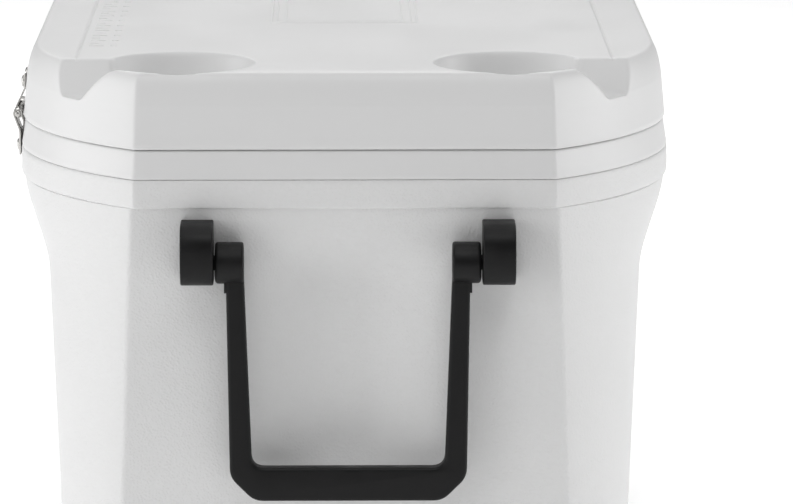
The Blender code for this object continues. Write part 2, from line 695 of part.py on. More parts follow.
def leaf_path(part):
    """Middle line of a leaf's sheet: down its wall, out to the pin and round it."""
    up = 1 if part == "lid" else -1
    reach = LEAF_HEIGHT_LID if part == "lid" else LEAF_HEIGHT_TUB
    bend = LEAF_BEND_LID if part == "lid" else LEAF_BEND_TUB
    offset = leaf_normal(part) * (REST_GAP + HINGE_LEAF / 2)
    path = [hinge_wall(part, up * reach) + offset, hinge_wall(part, up * bend) + offset]
    radius = PIN_DIAMETER / 2 + RUNNING_GAP + HINGE_LEAF / 2
    radius /= math.cos(KNUCKLE_WRAP / KNUCKLE_STEPS / 2)
    away = path[-1] - PIN_AXIS
    tangent = math.atan2(abs(away.z), away.y) - math.acos(radius / math.hypot(away.y, away.z))
    for i in range(KNUCKLE_STEPS + 1):
        angle = up * (tangent - KNUCKLE_WRAP * i / KNUCKLE_STEPS)
        path.append(PIN_AXIS + Vector((0, math.cos(angle), math.sin(angle))) * radius)
    return path


def make_leaf(part, name, sign, material):
    """Bent sheet: a plate on the wall, and knuckles round the pin."""
    middle = sign * HINGE_FROM_MIDDLE
    half = HINGE_LENGTH / 2
    knuckle = HINGE_KNUCKLE / 2
    edges = [-half, -knuckle - HINGE_SIDE_GAP, -knuckle, knuckle, knuckle + HINGE_SIDE_GAP, half]
    kept = {2} if part == "lid" else {0, 4}
    bm = bmesh.new()
    rows = [[bm.verts.new((middle + x, p.y, p.z)) for x in edges] for p in leaf_path(part)]
    for r, (upper, lower) in enumerate(zip(rows, rows[1:])):
        for c in range(len(edges) - 1):
            if r == 0 or c in kept:
                bm.faces.new((upper[c], upper[c + 1], lower[c + 1], lower[c]))
    bmesh.ops.delete(bm, geom=[v for v in bm.verts if not v.link_faces], context="VERTS")
    leaf = new_object(f"hinge_leaf_{part}_{name}", bm, material, smooth=40)
    sheet = leaf.modifiers.new("sheet", "SOLIDIFY")
    sheet.thickness = HINGE_LEAF
    sheet.offset = 0
    sheet.use_even_offset = True
    for screw in each_screw(part):
        if screw[1].x * sign > 0:
            cut(leaf, screw_hole(*screw))
    return leaf


def each_screw(part):
    """Name, place on the wall and direction of every screw that holds this part's leaves."""
    height = SCREW_HEIGHT_LID if part == "lid" else -SCREW_HEIGHT_TUB
    spots = []
    for index, sign in HINGES:
        for letter, shift in (("a", -1), ("b", 1)):
            point = hinge_wall(part, height)
            point.x = sign * HINGE_FROM_MIDDLE + shift * SCREW_SPACING / 2
            spots.append((f"{part}_{index}{letter}", point, leaf_normal(part)))
    return spots


def screw_hole(name, point, direction):
    radius = SCREW_SHANK_DIAMETER / 2 + REST_GAP
    depth = SCREW_LENGTH + REST_GAP
    rings = [[(x, y, z) for x, y in circle(radius, SCREW_STEPS, outside=True)]
             for z in (-depth, 2 * HINGE_LEAF + REST_GAP)]
    return new_tool("hole_" + name, aim(loft(rings), point, direction))


def make_screw(name, point, direction, material):
    """Domed screw, its head on the leaf and its shank through the leaf into the wall."""
    seat = REST_GAP * 2 + HINGE_LEAF
    head = SCREW_HEAD_DIAMETER / 2
    shank = SCREW_SHANK_DIAMETER / 2
    profile = [(0, -SCREW_LENGTH), (shank, -SCREW_LENGTH + shank), (shank, seat), (head, seat)]
    profile += [(head * across, seat + SCREW_HEAD_HEIGHT * up) for across, up in SCREW_DOME]
    bm = turned(profile, SCREW_STEPS)
    return new_object("hinge_screw_" + name, aim(bm, point, direction), material, smooth=40)


def make_pin(name, sign, material):
    reach = HINGE_LENGTH / 2 + HINGE_LEAF
    middle = sign * HINGE_FROM_MIDDLE
    bm = rod("X", (PIN_AXIS.y, PIN_AXIS.z), PIN_DIAMETER / 2, middle - reach, middle + reach, PIN_STEPS)
    return new_object(f"hinge_pin_{name}", bm, material, smooth=40)


# ================================================================ bails and brackets
def bail_pivot(end):
    x = end_wall(BAIL_PIVOT_Z) + BAIL_WALL_GAP + BAIL_EYE_DIAMETER / 2
    return Vector((end * x, 0, BAIL_PIVOT_Z))


def bracket_inner_face():
    return BAIL_WIDTH / 2 + BAIL_TAPER + BAIL_EYE_OUTSIDE + BAIL_EYE_GAP


def side_span(side, inner, outer):
    """Two distances from the middle of the handles, on one side, as (low, high) along Y."""
    return sorted((side * inner + BAIL_SHIFT, side * outer + BAIL_SHIFT))


def bail_outline():
    """The hanging U seen from its end, as (y, z)."""
    pivot = BAIL_PIVOT_Z
    foot = SEAM_HEIGHT - BAIL_GRIP_DROP
    top_out = BAIL_WIDTH / 2 + BAIL_TAPER
    low_out = BAIL_WIDTH / 2
    top_in = top_out - BAIL_ARM_TOP
    low_in = low_out - BAIL_ARM_BOTTOM
    grip = foot + BAIL_GRIP_HEIGHT
    right = [(low_out - BAIL_CORNER_CUT, foot), (low_out, foot + BAIL_CORNER_CUT), (top_out, pivot),
             (top_in, pivot), (low_in, grip + BAIL_INNER_ROUND)]
    for i in range(1, 4):
        angle = math.pi / 2 * i / 3
        right.append((low_in - BAIL_INNER_ROUND * (1 - math.cos(angle)),
                      grip + BAIL_INNER_ROUND * (1 - math.sin(angle))))
    both = right + [(-y, z) for y, z in reversed(right)]
    return [(y + BAIL_SHIFT, z) for y, z in both]


def make_bail(name, end, material):
    """U-shaped handle with a round eye and a pivot stud on each arm."""
    pivot = bail_pivot(end)
    half = BAIL_DEPTH / 2
    bm = bevel_all(prism(bail_outline(), "X", pivot.x - half, pivot.x + half), BAIL_EDGE)
    bail = new_object(f"bail_{name}", bm, material, smooth=40)
    outside = BAIL_WIDTH / 2 + BAIL_TAPER + BAIL_EYE_OUTSIDE
    inside = BAIL_WIDTH / 2 + BAIL_TAPER - BAIL_ARM_TOP
    for side, sign in SIDES:
        centre = (pivot.x, pivot.z)
        eye_span = side_span(sign, inside - REST_GAP, outside)
        eye = bevel_all(rod("Y", centre, BAIL_EYE_DIAMETER / 2, *eye_span, ROUND_STEPS), BAIL_EDGE / 2)
        stud_span = side_span(sign, inside + BAIL_EDGE, outside + BAIL_STUD_LENGTH)
        stud = rod("Y", centre, BAIL_STUD_DIAMETER / 2, *stud_span, ROUND_STEPS)
        add(bail, new_tool(f"eye_{name}_{side}", eye), new_tool(f"stud_{name}_{side}", stud))
    hang_from(new_pivot(f"pivot_bail_{name}", pivot), [bail])
    return bail


def bracket_profile(end):
    """A bracket seen from its side, as (x, z): flat back on the sloping wall, bulging front."""
    top = SEAM_HEIGHT - BRACKET_TOP_DROP
    foot = top - BRACKET_HEIGHT
    middle = (top + foot) / 2
    pivot = abs(bail_pivot(end).x)
    flat = end_wall(middle) + BRACKET_SIDE
    bulge = pivot + BRACKET_BULGE - flat
    points = [(end_wall(top) + REST_GAP, top)]
    for i in range(BRACKET_STEPS + 1):
        angle = math.pi / 2 - math.pi * i / BRACKET_STEPS
        points.append((flat + bulge * math.cos(angle), middle + BRACKET_HEIGHT / 2 * math.sin(angle)))
    points.append((end_wall(foot) + REST_GAP, foot))
    return [(end * x, z) for x, z in points]


def bracket_middle(side):
    return side * (bracket_inner_face() + BRACKET_WIDTH / 2) + BAIL_SHIFT


def plug_room(name, end, side, inwards, grow):
    """Block round a bracket's plug, from outside the end wall to a distance inside it."""
    z = SEAM_HEIGHT - BRACKET_TOP_DROP - BRACKET_HEIGHT / 2
    middle = bracket_middle(side)
    x = sorted((end * (end_wall(z) - inwards), end * (end_wall(z) + WALL)))
    half_y = PLUG_WIDTH / 2 + grow
    half_z = PLUG_HEIGHT / 2 + REST_GAP
    return new_tool(name, box(x, (middle - half_y, middle + half_y), (z - half_z, z + half_z)))


def make_bracket(name, end, side_name, side, material):
    """Pivot bracket: a housing on the wall, a blind bore for the stud and a snap-in plug."""
    middle = bracket_middle(side)
    span = (middle - BRACKET_WIDTH / 2, middle + BRACKET_WIDTH / 2)
    bm = bevel_all(prism(bracket_profile(end), "Y", *span), BRACKET_EDGE)
    bracket = new_object(f"bail_bracket_{name}_{side_name}", bm, material, smooth=40)
    z = SEAM_HEIGHT - BRACKET_TOP_DROP - BRACKET_HEIGHT / 2
    wall = end_wall(z)
    half = PLUG_WIDTH / 2
    behind = wall - WALL * 2
    plug = [(wall + BRACKET_SIDE / 2, half), (behind, half), (behind, half + PLUG_BARB),
            (wall - PLUG_LENGTH, half - PLUG_BARB)]
    plug += [(x, -y) for x, y in reversed(plug)]
    plug = [(end * x, middle + y) for x, y in plug]
    z_span = (z - PLUG_HEIGHT / 2, z + PLUG_HEIGHT / 2)
    add(bracket, new_tool(f"plug_{name}_{side_name}", prism(plug, "Z", *z_span)))
    pivot = bail_pivot(end)
    radius = BAIL_STUD_DIAMETER / 2 + RUNNING_GAP
    depth = BAIL_EYE_GAP + BAIL_STUD_LENGTH
    inner = bracket_inner_face() - BAIL_EYE_GAP
    bore = rod("Y", (pivot.x, pivot.z), radius, *side_span(side, inner, inner + depth + REST_GAP),
               ROUND_STEPS, True)
    return cut(bracket, new_tool(f"bore_{name}_{side_name}", bore))


def bracket_hole(name, end, side):
    """Opening in the end wall that a bracket's plug snaps through."""
    return plug_room(f"bracket_hole_{name}", end, side, 2 * WALL - REST_GAP, REST_GAP)


def bracket_pocket(name, end, side):
    """Room in the foam for a bracket's plug and its barbs."""
    return plug_room(f"bracket_pocket_{name}", end, side, PLUG_LENGTH + REST_GAP, PLUG_BARB + REST_GAP)


# ================================================================ wheels and axle
def make_wheel(name, sign, material):
    """Moulded wheel: rim, web with round lightening holes, and hub."""
    rim = WHEEL_DIAMETER / 2 - TYRE_THICKNESS - REST_GAP
    bore = (AXLE_DIAMETER / 2 + RUNNING_GAP) / math.cos(math.pi / TYRE_STEPS)
    hub = HUB_DIAMETER / 2
    half = WHEEL_WIDTH / 2
    web = WEB_THICKNESS / 2
    inside = rim - WALL
    shift = half - WEB_FROM_FACE
    profile = [(bore, half), (hub, half), (hub, shift + web), (inside, shift + web), (inside, half),
               (rim, half), (rim, -half), (inside, -half), (inside, shift - web), (hub, shift - web),
               (hub, -half), (bore, -half)]
    wheel = new_object(f"wheel_{name}", turned(profile, TYRE_STEPS), material, smooth=40)
    ring = (hub + inside) / 2
    for i in range(SPOKE_HOLES):
        angle = 2 * math.pi * i / SPOKE_HOLES
        centre = (ring * math.cos(angle), ring * math.sin(angle))
        hole = [[(x, y, z) for x, y in circle(SPOKE_HOLE_DIAMETER / 2, SPOKE_STEPS, centre)]
                for z in (shift - WEB_THICKNESS, shift + WEB_THICKNESS)]
        tool = new_tool(f"spoke_{name}_{i}", loft(hole))
        place_wheel(tool, sign)
        cut(wheel, tool)
    place_wheel(wheel, sign)
    return wheel


def place_wheel(item, sign, shift=0.0):
    """Stand a piece turned about Z on the axle, its +Z side outwards."""
    middle = wheel_place()[0] - WHEEL_WIDTH / 2
    item.rotation_euler = (-sign * math.pi / 2, 0, 0)
    item.location = (AXLE_X, sign * (middle + shift), AXLE_Z)


def make_tyre(name, sign, material):
    outer = WHEEL_DIAMETER / 2
    inner = (outer - TYRE_THICKNESS) / math.cos(math.pi / TYRE_STEPS)
    half = WHEEL_WIDTH / 2
    edge = TYRE_THICKNESS / 3
    profile = [(inner, half), (outer - edge, half), (outer, half - edge), (outer, edge - half),
               (outer - edge, -half), (inner, -half)]
    tyre = new_object(f"tyre_{name}", turned(profile, TYRE_STEPS), material, smooth=40)
    place_wheel(tyre, sign)
    return tyre


def make_washer(name, sign, material):
    """Spacer between a wheel's hub and its well."""
    bore = (AXLE_DIAMETER / 2 + REST_GAP) / math.cos(math.pi / ROUND_STEPS)
    half = WASHER_THICKNESS / 2
    radius = WASHER_DIAMETER / 2
    profile = [(bore, half), (radius, half), (radius, -half), (bore, -half)]
    washer = new_object(f"axle_washer_{name}", turned(profile, ROUND_STEPS), material, smooth=40)
    place_wheel(washer, sign, -WHEEL_WIDTH / 2 - WHEEL_SIDE_GAP / 2)
    return washer


def axle_reach():
    return wheel_place()[0] + AXLE_CAP_LENGTH - WALL / 2


def make_axle(material):
    reach = axle_reach()
    bm = rod("Y", (AXLE_X, AXLE_Z), AXLE_DIAMETER / 2, -reach, reach, ROUND_STEPS)
    return new_object("axle", bm, material, smooth=40)


def make_axle_cap(name, sign, material):
    """Push-on cap that holds a wheel on the axle."""
    bore = (AXLE_DIAMETER / 2 + REST_GAP) / math.cos(math.pi / ROUND_STEPS)
    radius = AXLE_CAP_DIAMETER / 2
    start = wheel_place()[0] + REST_GAP * 2
    floor = axle_reach() + REST_GAP - start
    top = floor + WALL / 2
    profile = [(bore, 0), (radius, 0), (radius, top * AXLE_CAP_SHOULDER), (radius * AXLE_CAP_TOP, top),
               (0, top), (0, floor), (bore, floor)]
    cap = new_object(f"axle_cap_{name}", turned(profile, ROUND_STEPS), material, smooth=40)
    place_wheel(cap, sign, start - (wheel_place()[0] - WHEEL_WIDTH / 2))
    return cap


# ================================================================ drain
def drain_outer_face():
    """Flat of the boss on the towing end's wall, as a distance from the middle."""
    return end_wall(DRAIN_HEIGHT) + DRAIN_BOSS_PROUD


def drain_inner_face():
    """Flat of the boss inside the liner, clear of the cove, as a distance from the middle."""
    return MOUTH_LENGTH - liner_inset(LINER_FLOOR) - DRAIN_BOSS_STAND


def drain_boss():
    face = drain_outer_face()
    back = face - DRAIN_BOSS_PROUD * 2 - WALL
    return new_tool("shell_boss", rod("X", (0, DRAIN_HEIGHT), DRAIN_BOSS / 2, -face, -back, DRAIN_STEPS))


def drain_hole(name):
    radius = DRAIN_TUBE / 2 + REST_GAP
    return new_tool(name, rod("X", (0, DRAIN_HEIGHT), radius, -FAR, -MOUTH_LENGTH / 2, DRAIN_STEPS, True))


def turn_to_end(item, distance):
    """Stand a piece turned about Z in the towing end's wall, its +Z side outwards."""
    item.rotation_euler = (0, -math.pi / 2, 0)
    item.location = (-distance, 0, DRAIN_HEIGHT)


def spout_end():
    return drain_outer_face() + DRAIN_NUT_THICKNESS + DRAIN_CAP_LENGTH - 2 * DRAIN_SEAL_THICKNESS


def make_drain(plastic, rubber):
    """Spout through the wall with its gasket, nut, screw cap and the cap's seal."""
    inside = drain_inner_face()
    outside = drain_outer_face()
    bore = DRAIN_BORE / 2
    tube = DRAIN_TUBE / 2
    seat = inside - DRAIN_GASKET_THICKNESS - REST_GAP * 2
    length = spout_end() - seat
    flange = DRAIN_FLANGE / 2
    spout = turned([(bore, length), (tube, length), (tube, 0), (flange, 0),
                    (flange, -DRAIN_FLANGE_THICKNESS), (bore, -DRAIN_FLANGE_THICKNESS)], DRAIN_STEPS)
    spout = new_object("drain_spout", spout, plastic, smooth=40)
    turn_to_end(spout, seat)

    hole = (tube + DRAIN_THREAD_GAP) / math.cos(math.pi / DRAIN_STEPS)
    gasket = turned([(hole, DRAIN_GASKET_THICKNESS), (flange, DRAIN_GASKET_THICKNESS), (flange, 0),
                     (hole, 0)], DRAIN_STEPS)
    gasket = new_object("drain_gasket", gasket, rubber, smooth=40)
    turn_to_end(gasket, seat + REST_GAP)

    hexagon = [[(x, y, z) for x, y in circle(DRAIN_NUT / 2, 6)] for z in (0, DRAIN_NUT_THICKNESS)]
    nut = new_object("drain_nut", loft(hexagon), plastic, smooth=40)
    turn_to_end(nut, outside + REST_GAP)
    cut(nut, new_tool("nut_hole", rod("X", (0, DRAIN_HEIGHT), tube + DRAIN_THREAD_GAP, -FAR, 0,
                                      DRAIN_STEPS, True)))

    start = outside + REST_GAP + DRAIN_NUT_THICKNESS + DRAIN_CAP_GAP
    floor = spout_end() + DRAIN_SEAL_THICKNESS + REST_GAP * 2 - start
    radius = DRAIN_CAP / 2
    top = floor + DRAIN_CAP_WALL
    cap = turned([(hole, 0), (radius, 0), (radius, top - WALL / 2), (radius - WALL / 2, top), (0, top),
                  (0, floor), (hole, floor)], DRAIN_STEPS)
    cap = new_object("drain_cap", cap, plastic, smooth=40)
    turn_to_end(cap, start)

    seal = turned([(0, 0), (tube, 0), (tube, DRAIN_SEAL_THICKNESS), (0, DRAIN_SEAL_THICKNESS)], DRAIN_STEPS)
    seal = new_object("drain_cap_seal", seal, rubber, smooth=40)
    turn_to_end(seal, spout_end() + REST_GAP)


# ================================================================ assembly
def main():
    for item in list(bpy.data.objects):
        bpy.data.objects.remove(item, do_unlink=True)
    shell_plastic = new_material("shell_plastic", (0.80, 0.80, 0.80), 0.45)
    lid_plastic = new_material("lid_plastic", (0.80, 0.80, 0.80), 0.38)
    liner_plastic = new_material("liner_plastic", (0.78, 0.78, 0.78), 0.35)
    foam = new_material("insulating_foam", (0.80, 0.72, 0.45), 0.9)
    black_plastic = new_material("black_plastic", (0.018, 0.018, 0.019), 0.42)
    steel = new_material("stainless_steel", (0.62, 0.62, 0.61), 0.25, 1.0)
    wheel_plastic = new_material("wheel_plastic", (0.022, 0.022, 0.023), 0.45)
    rubber = new_material("tyre_rubber", (0.02, 0.02, 0.02), 0.75)

    make_tub_shell(shell_plastic)
    make_tub_liner(liner_plastic)
    make_tub_foam(foam)
    on_lid = [make_lid_shell(lid_plastic), make_lid_liner(liner_plastic), make_lid_foam(foam)]
    for name, sign in HINGES:
        on_lid.append(make_leaf("lid", name, sign, steel))
        make_leaf("tub", name, sign, steel)
        make_pin(name, sign, steel)
    on_lid += [make_screw(*screw, steel) for screw in each_screw("lid")]
    for screw in each_screw("tub"):
        make_screw(*screw, steel)
    hang_from(new_pivot("pivot_lid", PIN_AXIS), on_lid)
    for name, end in ENDS:
        make_bail(name, end, black_plastic)
        for side_name, side in SIDES:
            make_bracket(name, end, side_name, side, black_plastic)
    make_axle(steel)
    for name, sign in SIDES:
        make_wheel(name, sign, wheel_plastic)
        make_tyre(name, sign, rubber)
        make_washer(name, sign, steel)
        make_axle_cap(name, sign, wheel_plastic)
    make_drain(black_plastic, rubber)


main()
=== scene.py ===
"""The finished look of a large insulated cooler on wheels, built round its packed frame.

Everything is in metres in the frame's own axes: +Z up, X along the tub with the towing end at -X and
the wheels at +X, and the lid's hinges along the +Y side.
"""
import json
import math

import bmesh
import bpy
import numpy as np
from bpy.props import FloatProperty, FloatVectorProperty, IntProperty, PointerProperty
from mathutils import Matrix, Vector
from mathutils.geometry import delaunay_2d_cdt


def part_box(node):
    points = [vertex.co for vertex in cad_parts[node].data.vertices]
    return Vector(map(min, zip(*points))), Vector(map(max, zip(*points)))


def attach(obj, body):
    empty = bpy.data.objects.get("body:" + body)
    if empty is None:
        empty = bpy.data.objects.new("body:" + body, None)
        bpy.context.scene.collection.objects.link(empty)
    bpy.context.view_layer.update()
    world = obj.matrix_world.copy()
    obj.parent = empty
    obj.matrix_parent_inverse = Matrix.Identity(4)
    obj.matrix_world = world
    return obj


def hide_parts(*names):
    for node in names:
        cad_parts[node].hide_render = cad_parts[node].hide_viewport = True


bl_info = {
    "name": "Wheeled cooler",
    "version": (1, 0, 0),
    "blender": (4, 5, 0),
    "location": "View3D > Sidebar > Cooler",
    "description": "Builds the moulded shell, lid, handles, hinges, wheels and drain of a cooler",
    "category": "Object",
}

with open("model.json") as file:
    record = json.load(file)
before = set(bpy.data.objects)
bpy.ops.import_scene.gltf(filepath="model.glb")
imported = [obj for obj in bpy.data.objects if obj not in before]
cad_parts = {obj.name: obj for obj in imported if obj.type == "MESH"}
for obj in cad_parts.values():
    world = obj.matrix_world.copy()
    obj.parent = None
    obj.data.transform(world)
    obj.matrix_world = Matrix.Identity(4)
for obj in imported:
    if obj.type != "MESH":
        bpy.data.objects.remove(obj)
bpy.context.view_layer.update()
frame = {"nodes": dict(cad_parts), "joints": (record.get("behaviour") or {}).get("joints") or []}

# ------------------------------------------------------------ read from the frame
SHELL_LOW, SHELL_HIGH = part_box("tub_shell")
LINER_LOW, LINER_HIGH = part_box("tub_liner")
LID_LOW, LID_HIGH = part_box("lid_shell")
HALF_LENGTH = SHELL_HIGH.x
HALF_WIDTH = SHELL_HIGH.y
SEAM = LINER_HIGH.z
LID_FOOT = LID_LOW.z
LID_TOP = LID_HIGH.z
JOINTS = {joint["name"]: joint for joint in frame["joints"]}
SIDES = (("front", -1), ("back", 1))
ENDS = (("tow", -1), ("wheel", 1))
REST_GAP = 0.0003

# ------------------------------------------------------------ plan outline, shared by tub, collar and lid
CORNER_TURN = math.radians(52)
RIM_SETBACK = 0.0835          # from a corner's crease to the side wall, at the rim
LINER_SETBACK = 0.058
CREASE_STEP = 0.0020
CREASE_SPREAD = 0.0140
GROUND_GAP = 0.016            # tub's underside above the ground
WALL = 0.003
COLLAR_FOOT = SEAM - 0.0197
RIM_FOOT = COLLAR_FOOT - 0.0173
MOUTH_LENGTH = HALF_LENGTH - 0.042
MOUTH_WIDTH = HALF_WIDTH - 0.042
LINER_FLOOR = 0.045


# ============================================================ sizes and colours
class CoolerTub(bpy.types.PropertyGroup):
    """Sizes of the moulded tub."""
    draft: FloatProperty(name="Draft", description="Taper of the tub's walls", default=math.radians(2.6),
                         subtype="ANGLE")
    rim_step: FloatProperty(name="Rim step", description="Ledge below the rim band", default=0.0022,
                            unit="LENGTH")
    shoulder_inset: FloatProperty(name="Shoulder inset", description="How far the sides curve in below the rim",
                                  default=0.0158, unit="LENGTH")
    shoulder_height: FloatProperty(name="Shoulder height", description="Height of that curve", default=0.062,
                                   unit="LENGTH")
    crease: FloatProperty(name="Crease softness", description="Half width of the rounding on each upright crease",
                          default=0.0022, unit="LENGTH")
    scoop_depth: FloatProperty(name="Hand recess depth", description="Depth of the hollow behind each handle",
                               default=0.0156, unit="LENGTH")
    collar_edge: FloatProperty(name="Collar edge", description="Rounding along the collar's top edge",
                               default=0.0022, unit="LENGTH")


class CoolerLid(bpy.types.PropertyGroup):
    """Sizes of the moulded lid."""
    side_height: FloatProperty(name="Side height", description="Upright part of the lid's sides",
                               default=0.0290, unit="LENGTH")
    side_inset: FloatProperty(name="Side lean", description="How far the sides lean in over that height",
                              default=0.0026, unit="LENGTH")
    edge_width: FloatProperty(name="Edge width", description="Plan width of the sloping edge above the sides",
                              default=0.0089, unit="LENGTH")
    cup_radius: FloatProperty(name="Cup radius", description="Radius of a cup holder at the deck",
                              default=0.050, unit="LENGTH")
    cup_floor: FloatProperty(name="Cup floor radius", description="Radius of a cup holder's floor",
                             default=0.042, unit="LENGTH")
    cup_depth: FloatProperty(name="Cup depth", description="Depth of a cup holder", default=0.0231,
                             unit="LENGTH")
    cup_round: FloatProperty(name="Cup rounding", description="Softness of a cup holder's edges",
                             default=0.0036, unit="LENGTH")
    groove_depth: FloatProperty(name="Groove depth", description="Depth of the two long grooves in the deck",
                                default=0.0008, unit="LENGTH")
    mark_height: FloatProperty(name="Mark height", description="How proud the ruler marks and the frame stand",
                               default=0.0003, unit="LENGTH")


class CoolerFinish(bpy.types.PropertyGroup):
    """Colours and surface of the cooler."""
    white: FloatVectorProperty(name="White plastic", description="Colour of the tub, collar and lid",
                               default=(0.80, 0.80, 0.80), size=3, subtype="COLOR")
    black: FloatVectorProperty(name="Black plastic", description="Colour of the handles and brackets",
                               default=(0.0070, 0.0070, 0.0073), size=3, subtype="COLOR")
    steel: FloatVectorProperty(name="Stainless steel", description="Colour of the hinges and axle",
                               default=(0.62, 0.61, 0.59), size=3, subtype="COLOR")
    rubber: FloatVectorProperty(name="Rubber", description="Colour of tyres and seals",
                                default=(0.020, 0.020, 0.020), size=3, subtype="COLOR")
    foam: FloatVectorProperty(name="Foam", description="Colour of the insulating foam",
                              default=(0.78, 0.66, 0.36), size=3, subtype="COLOR")
    pebble: FloatProperty(name="Pebble", description="Strength of the pebbled texture on the tub",
                          default=0.42, min=0.0, max=1.0)


class CoolerStage(bpy.types.PropertyGroup):
    """Camera and light."""
    distance: FloatProperty(name="Camera distance", description="From the towing end to the camera",
                            default=3.170, unit="LENGTH")
    height: FloatProperty(name="Camera height", description="Camera above the lid", default=0.4672,
                          unit="LENGTH")
    pitch: FloatProperty(name="Pitch", description="How far the camera looks down",
                         default=math.radians(10.46), subtype="ANGLE")
    yaw: FloatProperty(name="Yaw", description="How far the camera turns to its right",
                       default=math.radians(0.64), subtype="ANGLE")
    lens: FloatProperty(name="Lens", description="Focal length in millimetres", default=221.7)
    floor_rings: IntProperty(name="Floor rings", description="Rings of faces in the floor", default=28, min=2)


# ============================================================ mesh tools
def new_piece(name, mesh, body, material, replaces=()):
    """Put a finished mesh in the scene as a piece that rides on a body."""
    mesh.name = name
    piece = bpy.data.objects.new(name, mesh)
    bpy.context.scene.collection.objects.link(piece)
    if material is not None:
        mesh.materials.clear()
        mesh.materials.append(material)
    if replaces:
        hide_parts(*replaces)
    if body is not None:
        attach(piece, body)
    return piece


def outward(mesh, sharp=None):
    """Turn every face outwards and shade the mesh smooth, with hard edges above an angle."""
    bm = bmesh.new()
    bm.from_mesh(mesh)
    bmesh.ops.recalc_face_normals(bm, faces=bm.faces)
    bm.to_mesh(mesh)
    bm.free()
    mesh.shade_smooth()
    if sharp is not None:
        mesh.set_sharp_from_angle(angle=math.radians(sharp))
    return mesh


def mesh_of(vertices, faces):
    mesh = bpy.data.meshes.new("part")
    mesh.from_pydata([tuple(v) for v in vertices], [], faces)
    mesh.validate()
    return mesh


def band(count, low, high):
    """Quads between two rings of count vertices that start at low and high."""
    return [(low + i, low + (i + 1) % count, high + (i + 1) % count, high + i) for i in range(count)]


def loft(rings, close=True):
    """Skin a stack of equal rings; close caps the first and the last."""
    count = len(rings[0])
    faces = []
    for level in range(len(rings) - 1):
        faces += band(count, level * count, (level + 1) * count)
    if close:
        faces.append(tuple(range(count))[::-1])
        faces.append(tuple(range((len(rings) - 1) * count, len(rings) * count)))
    return mesh_of(np.vstack(rings), faces)


def solid(name, mesh):
    """A throw-away object for Boolean work."""
    item = bpy.data.objects.new(name, outward(mesh))
    bpy.context.scene.collection.objects.link(item)
    return item


def settle(item):
    """Apply every modifier of an object."""
    graph = bpy.context.evaluated_depsgraph_get()
    graph.update()
    mesh = bpy.data.meshes.new_from_object(item.evaluated_get(graph))
    item.modifiers.clear()
    old = item.data
    item.data = mesh
    bpy.data.meshes.remove(old)
    return item


def drop(item):
    """Remove a working object and hand back its mesh."""
    mesh = item.data
    bpy.data.objects.remove(item)
    return mesh


def boolean(item, tool, operation):
    modifier = item.modifiers.new("work", "BOOLEAN")
    modifier.operation = operation
    modifier.solver = "EXACT"
    modifier.object = tool
    settle(item)
    bpy.data.meshes.remove(drop(tool))
    return item


def prism(points, axis, low, high):
    """Extrude a closed outline along X, Y or Z; its points give the other two axes in order."""
    order = {"X": lambda a, b, c: (c, a, b), "Y": lambda a, b, c: (a, c, b), "Z": lambda a, b, c: (a, b, c)}
    return loft([np.array([order[axis](a, b, c) for a, b in points]) for c in (low, high)])


def block(low, high):
    return prism([(low[0], low[1]), (high[0], low[1]), (high[0], high[1]), (low[0], high[1])], "Z", low[2],
                 high[2])


def circle(radius, steps, centre=(0.0, 0.0)):
    return [(centre[0] + radius * math.cos(2 * math.pi * i / steps),
             centre[1] + radius * math.sin(2 * math.pi * i / steps)) for i in range(steps)]


def turned(profile, steps):
    """Spin a closed (radius, height) profile about Z."""
    vertices, faces, rows = [], [], []
    for radius, height in profile:
        if radius < 1e-9:
            rows.append([len(vertices)])
            vertices.append((0, 0, height))
        else:
            rows.append(list(range(len(vertices), len(vertices) + steps)))
            vertices += [(x, y, height) for x, y in circle(radius, steps)]
    for first, second in zip(rows, rows[1:] + rows[:1]):
        for i in range(steps):
            j = (i + 1) % steps
            corners = [first[i % len(first)], first[j % len(first)], second[j % len(second)],
                       second[i % len(second)]]
            corners = tuple(dict.fromkeys(corners))
            if len(corners) > 2:
                faces.append(corners)
    return mesh_of(vertices, faces)


def soften(points, radius, steps=3):
    """Round the corners of a closed profile; radius may be one number or one for each point."""
    count = len(points)
    radii = radius if hasattr(radius, "__len__") else [radius] * count
    result = []
    for i, point in enumerate(points):
        here = Vector(point)
        before = Vector(points[i - 1]) - here
        after = Vector(points[(i + 1) % count]) - here
        reach = min(radii[i], before.length * 0.45, after.length * 0.45)
        if reach < 1e-6:
            result.append(tuple(here))
            continue
        start = here + before.normalized() * reach
        stop = here + after.normalized() * reach
        for k in range(steps + 1):
            t = k / steps
            result.append(tuple(start * (1 - t) ** 2 + here * 2 * t * (1 - t) + stop * t * t))
    return result


def rounded(mesh, width, segments=3, angle=35):
    """Bevel every edge sharper than angle."""
    bm = bmesh.new()
    bm.from_mesh(mesh)
    bmesh.ops.recalc_face_normals(bm, faces=bm.faces)
    sharp = [e for e in bm.edges if e.calc_face_angle(0) > math.radians(angle)]
    bmesh.ops.bevel(bm, geom=sharp, offset=width, segments=segments, profile=0.5, affect="EDGES",
                    clamp_overlap=True)
    bm.to_mesh(mesh)
    bm.free()
    return mesh


def placed(mesh, matrix):
    mesh.transform(matrix)
    return mesh


def pointing(point, direction):
    """Matrix that stands +Z along a direction at a point."""
    return Matrix.Translation(point) @ Vector(direction).to_track_quat("Z", "Y").to_matrix().to_4x4()


def joined(meshes):
    """One mesh from several that don't touch."""
    bm = bmesh.new()
    for mesh in meshes:
        bm.from_mesh(mesh)
        bpy.data.meshes.remove(mesh)
    whole = bpy.data.meshes.new("part")
    bm.to_mesh(whole)
    bm.free()
    return whole


# ============================================================ plan outlines
TUB_STEPS = (18, 26, 5, 44)       # side, corner arc, crease, end
LID_STEPS = (20, 110, 5, 40)


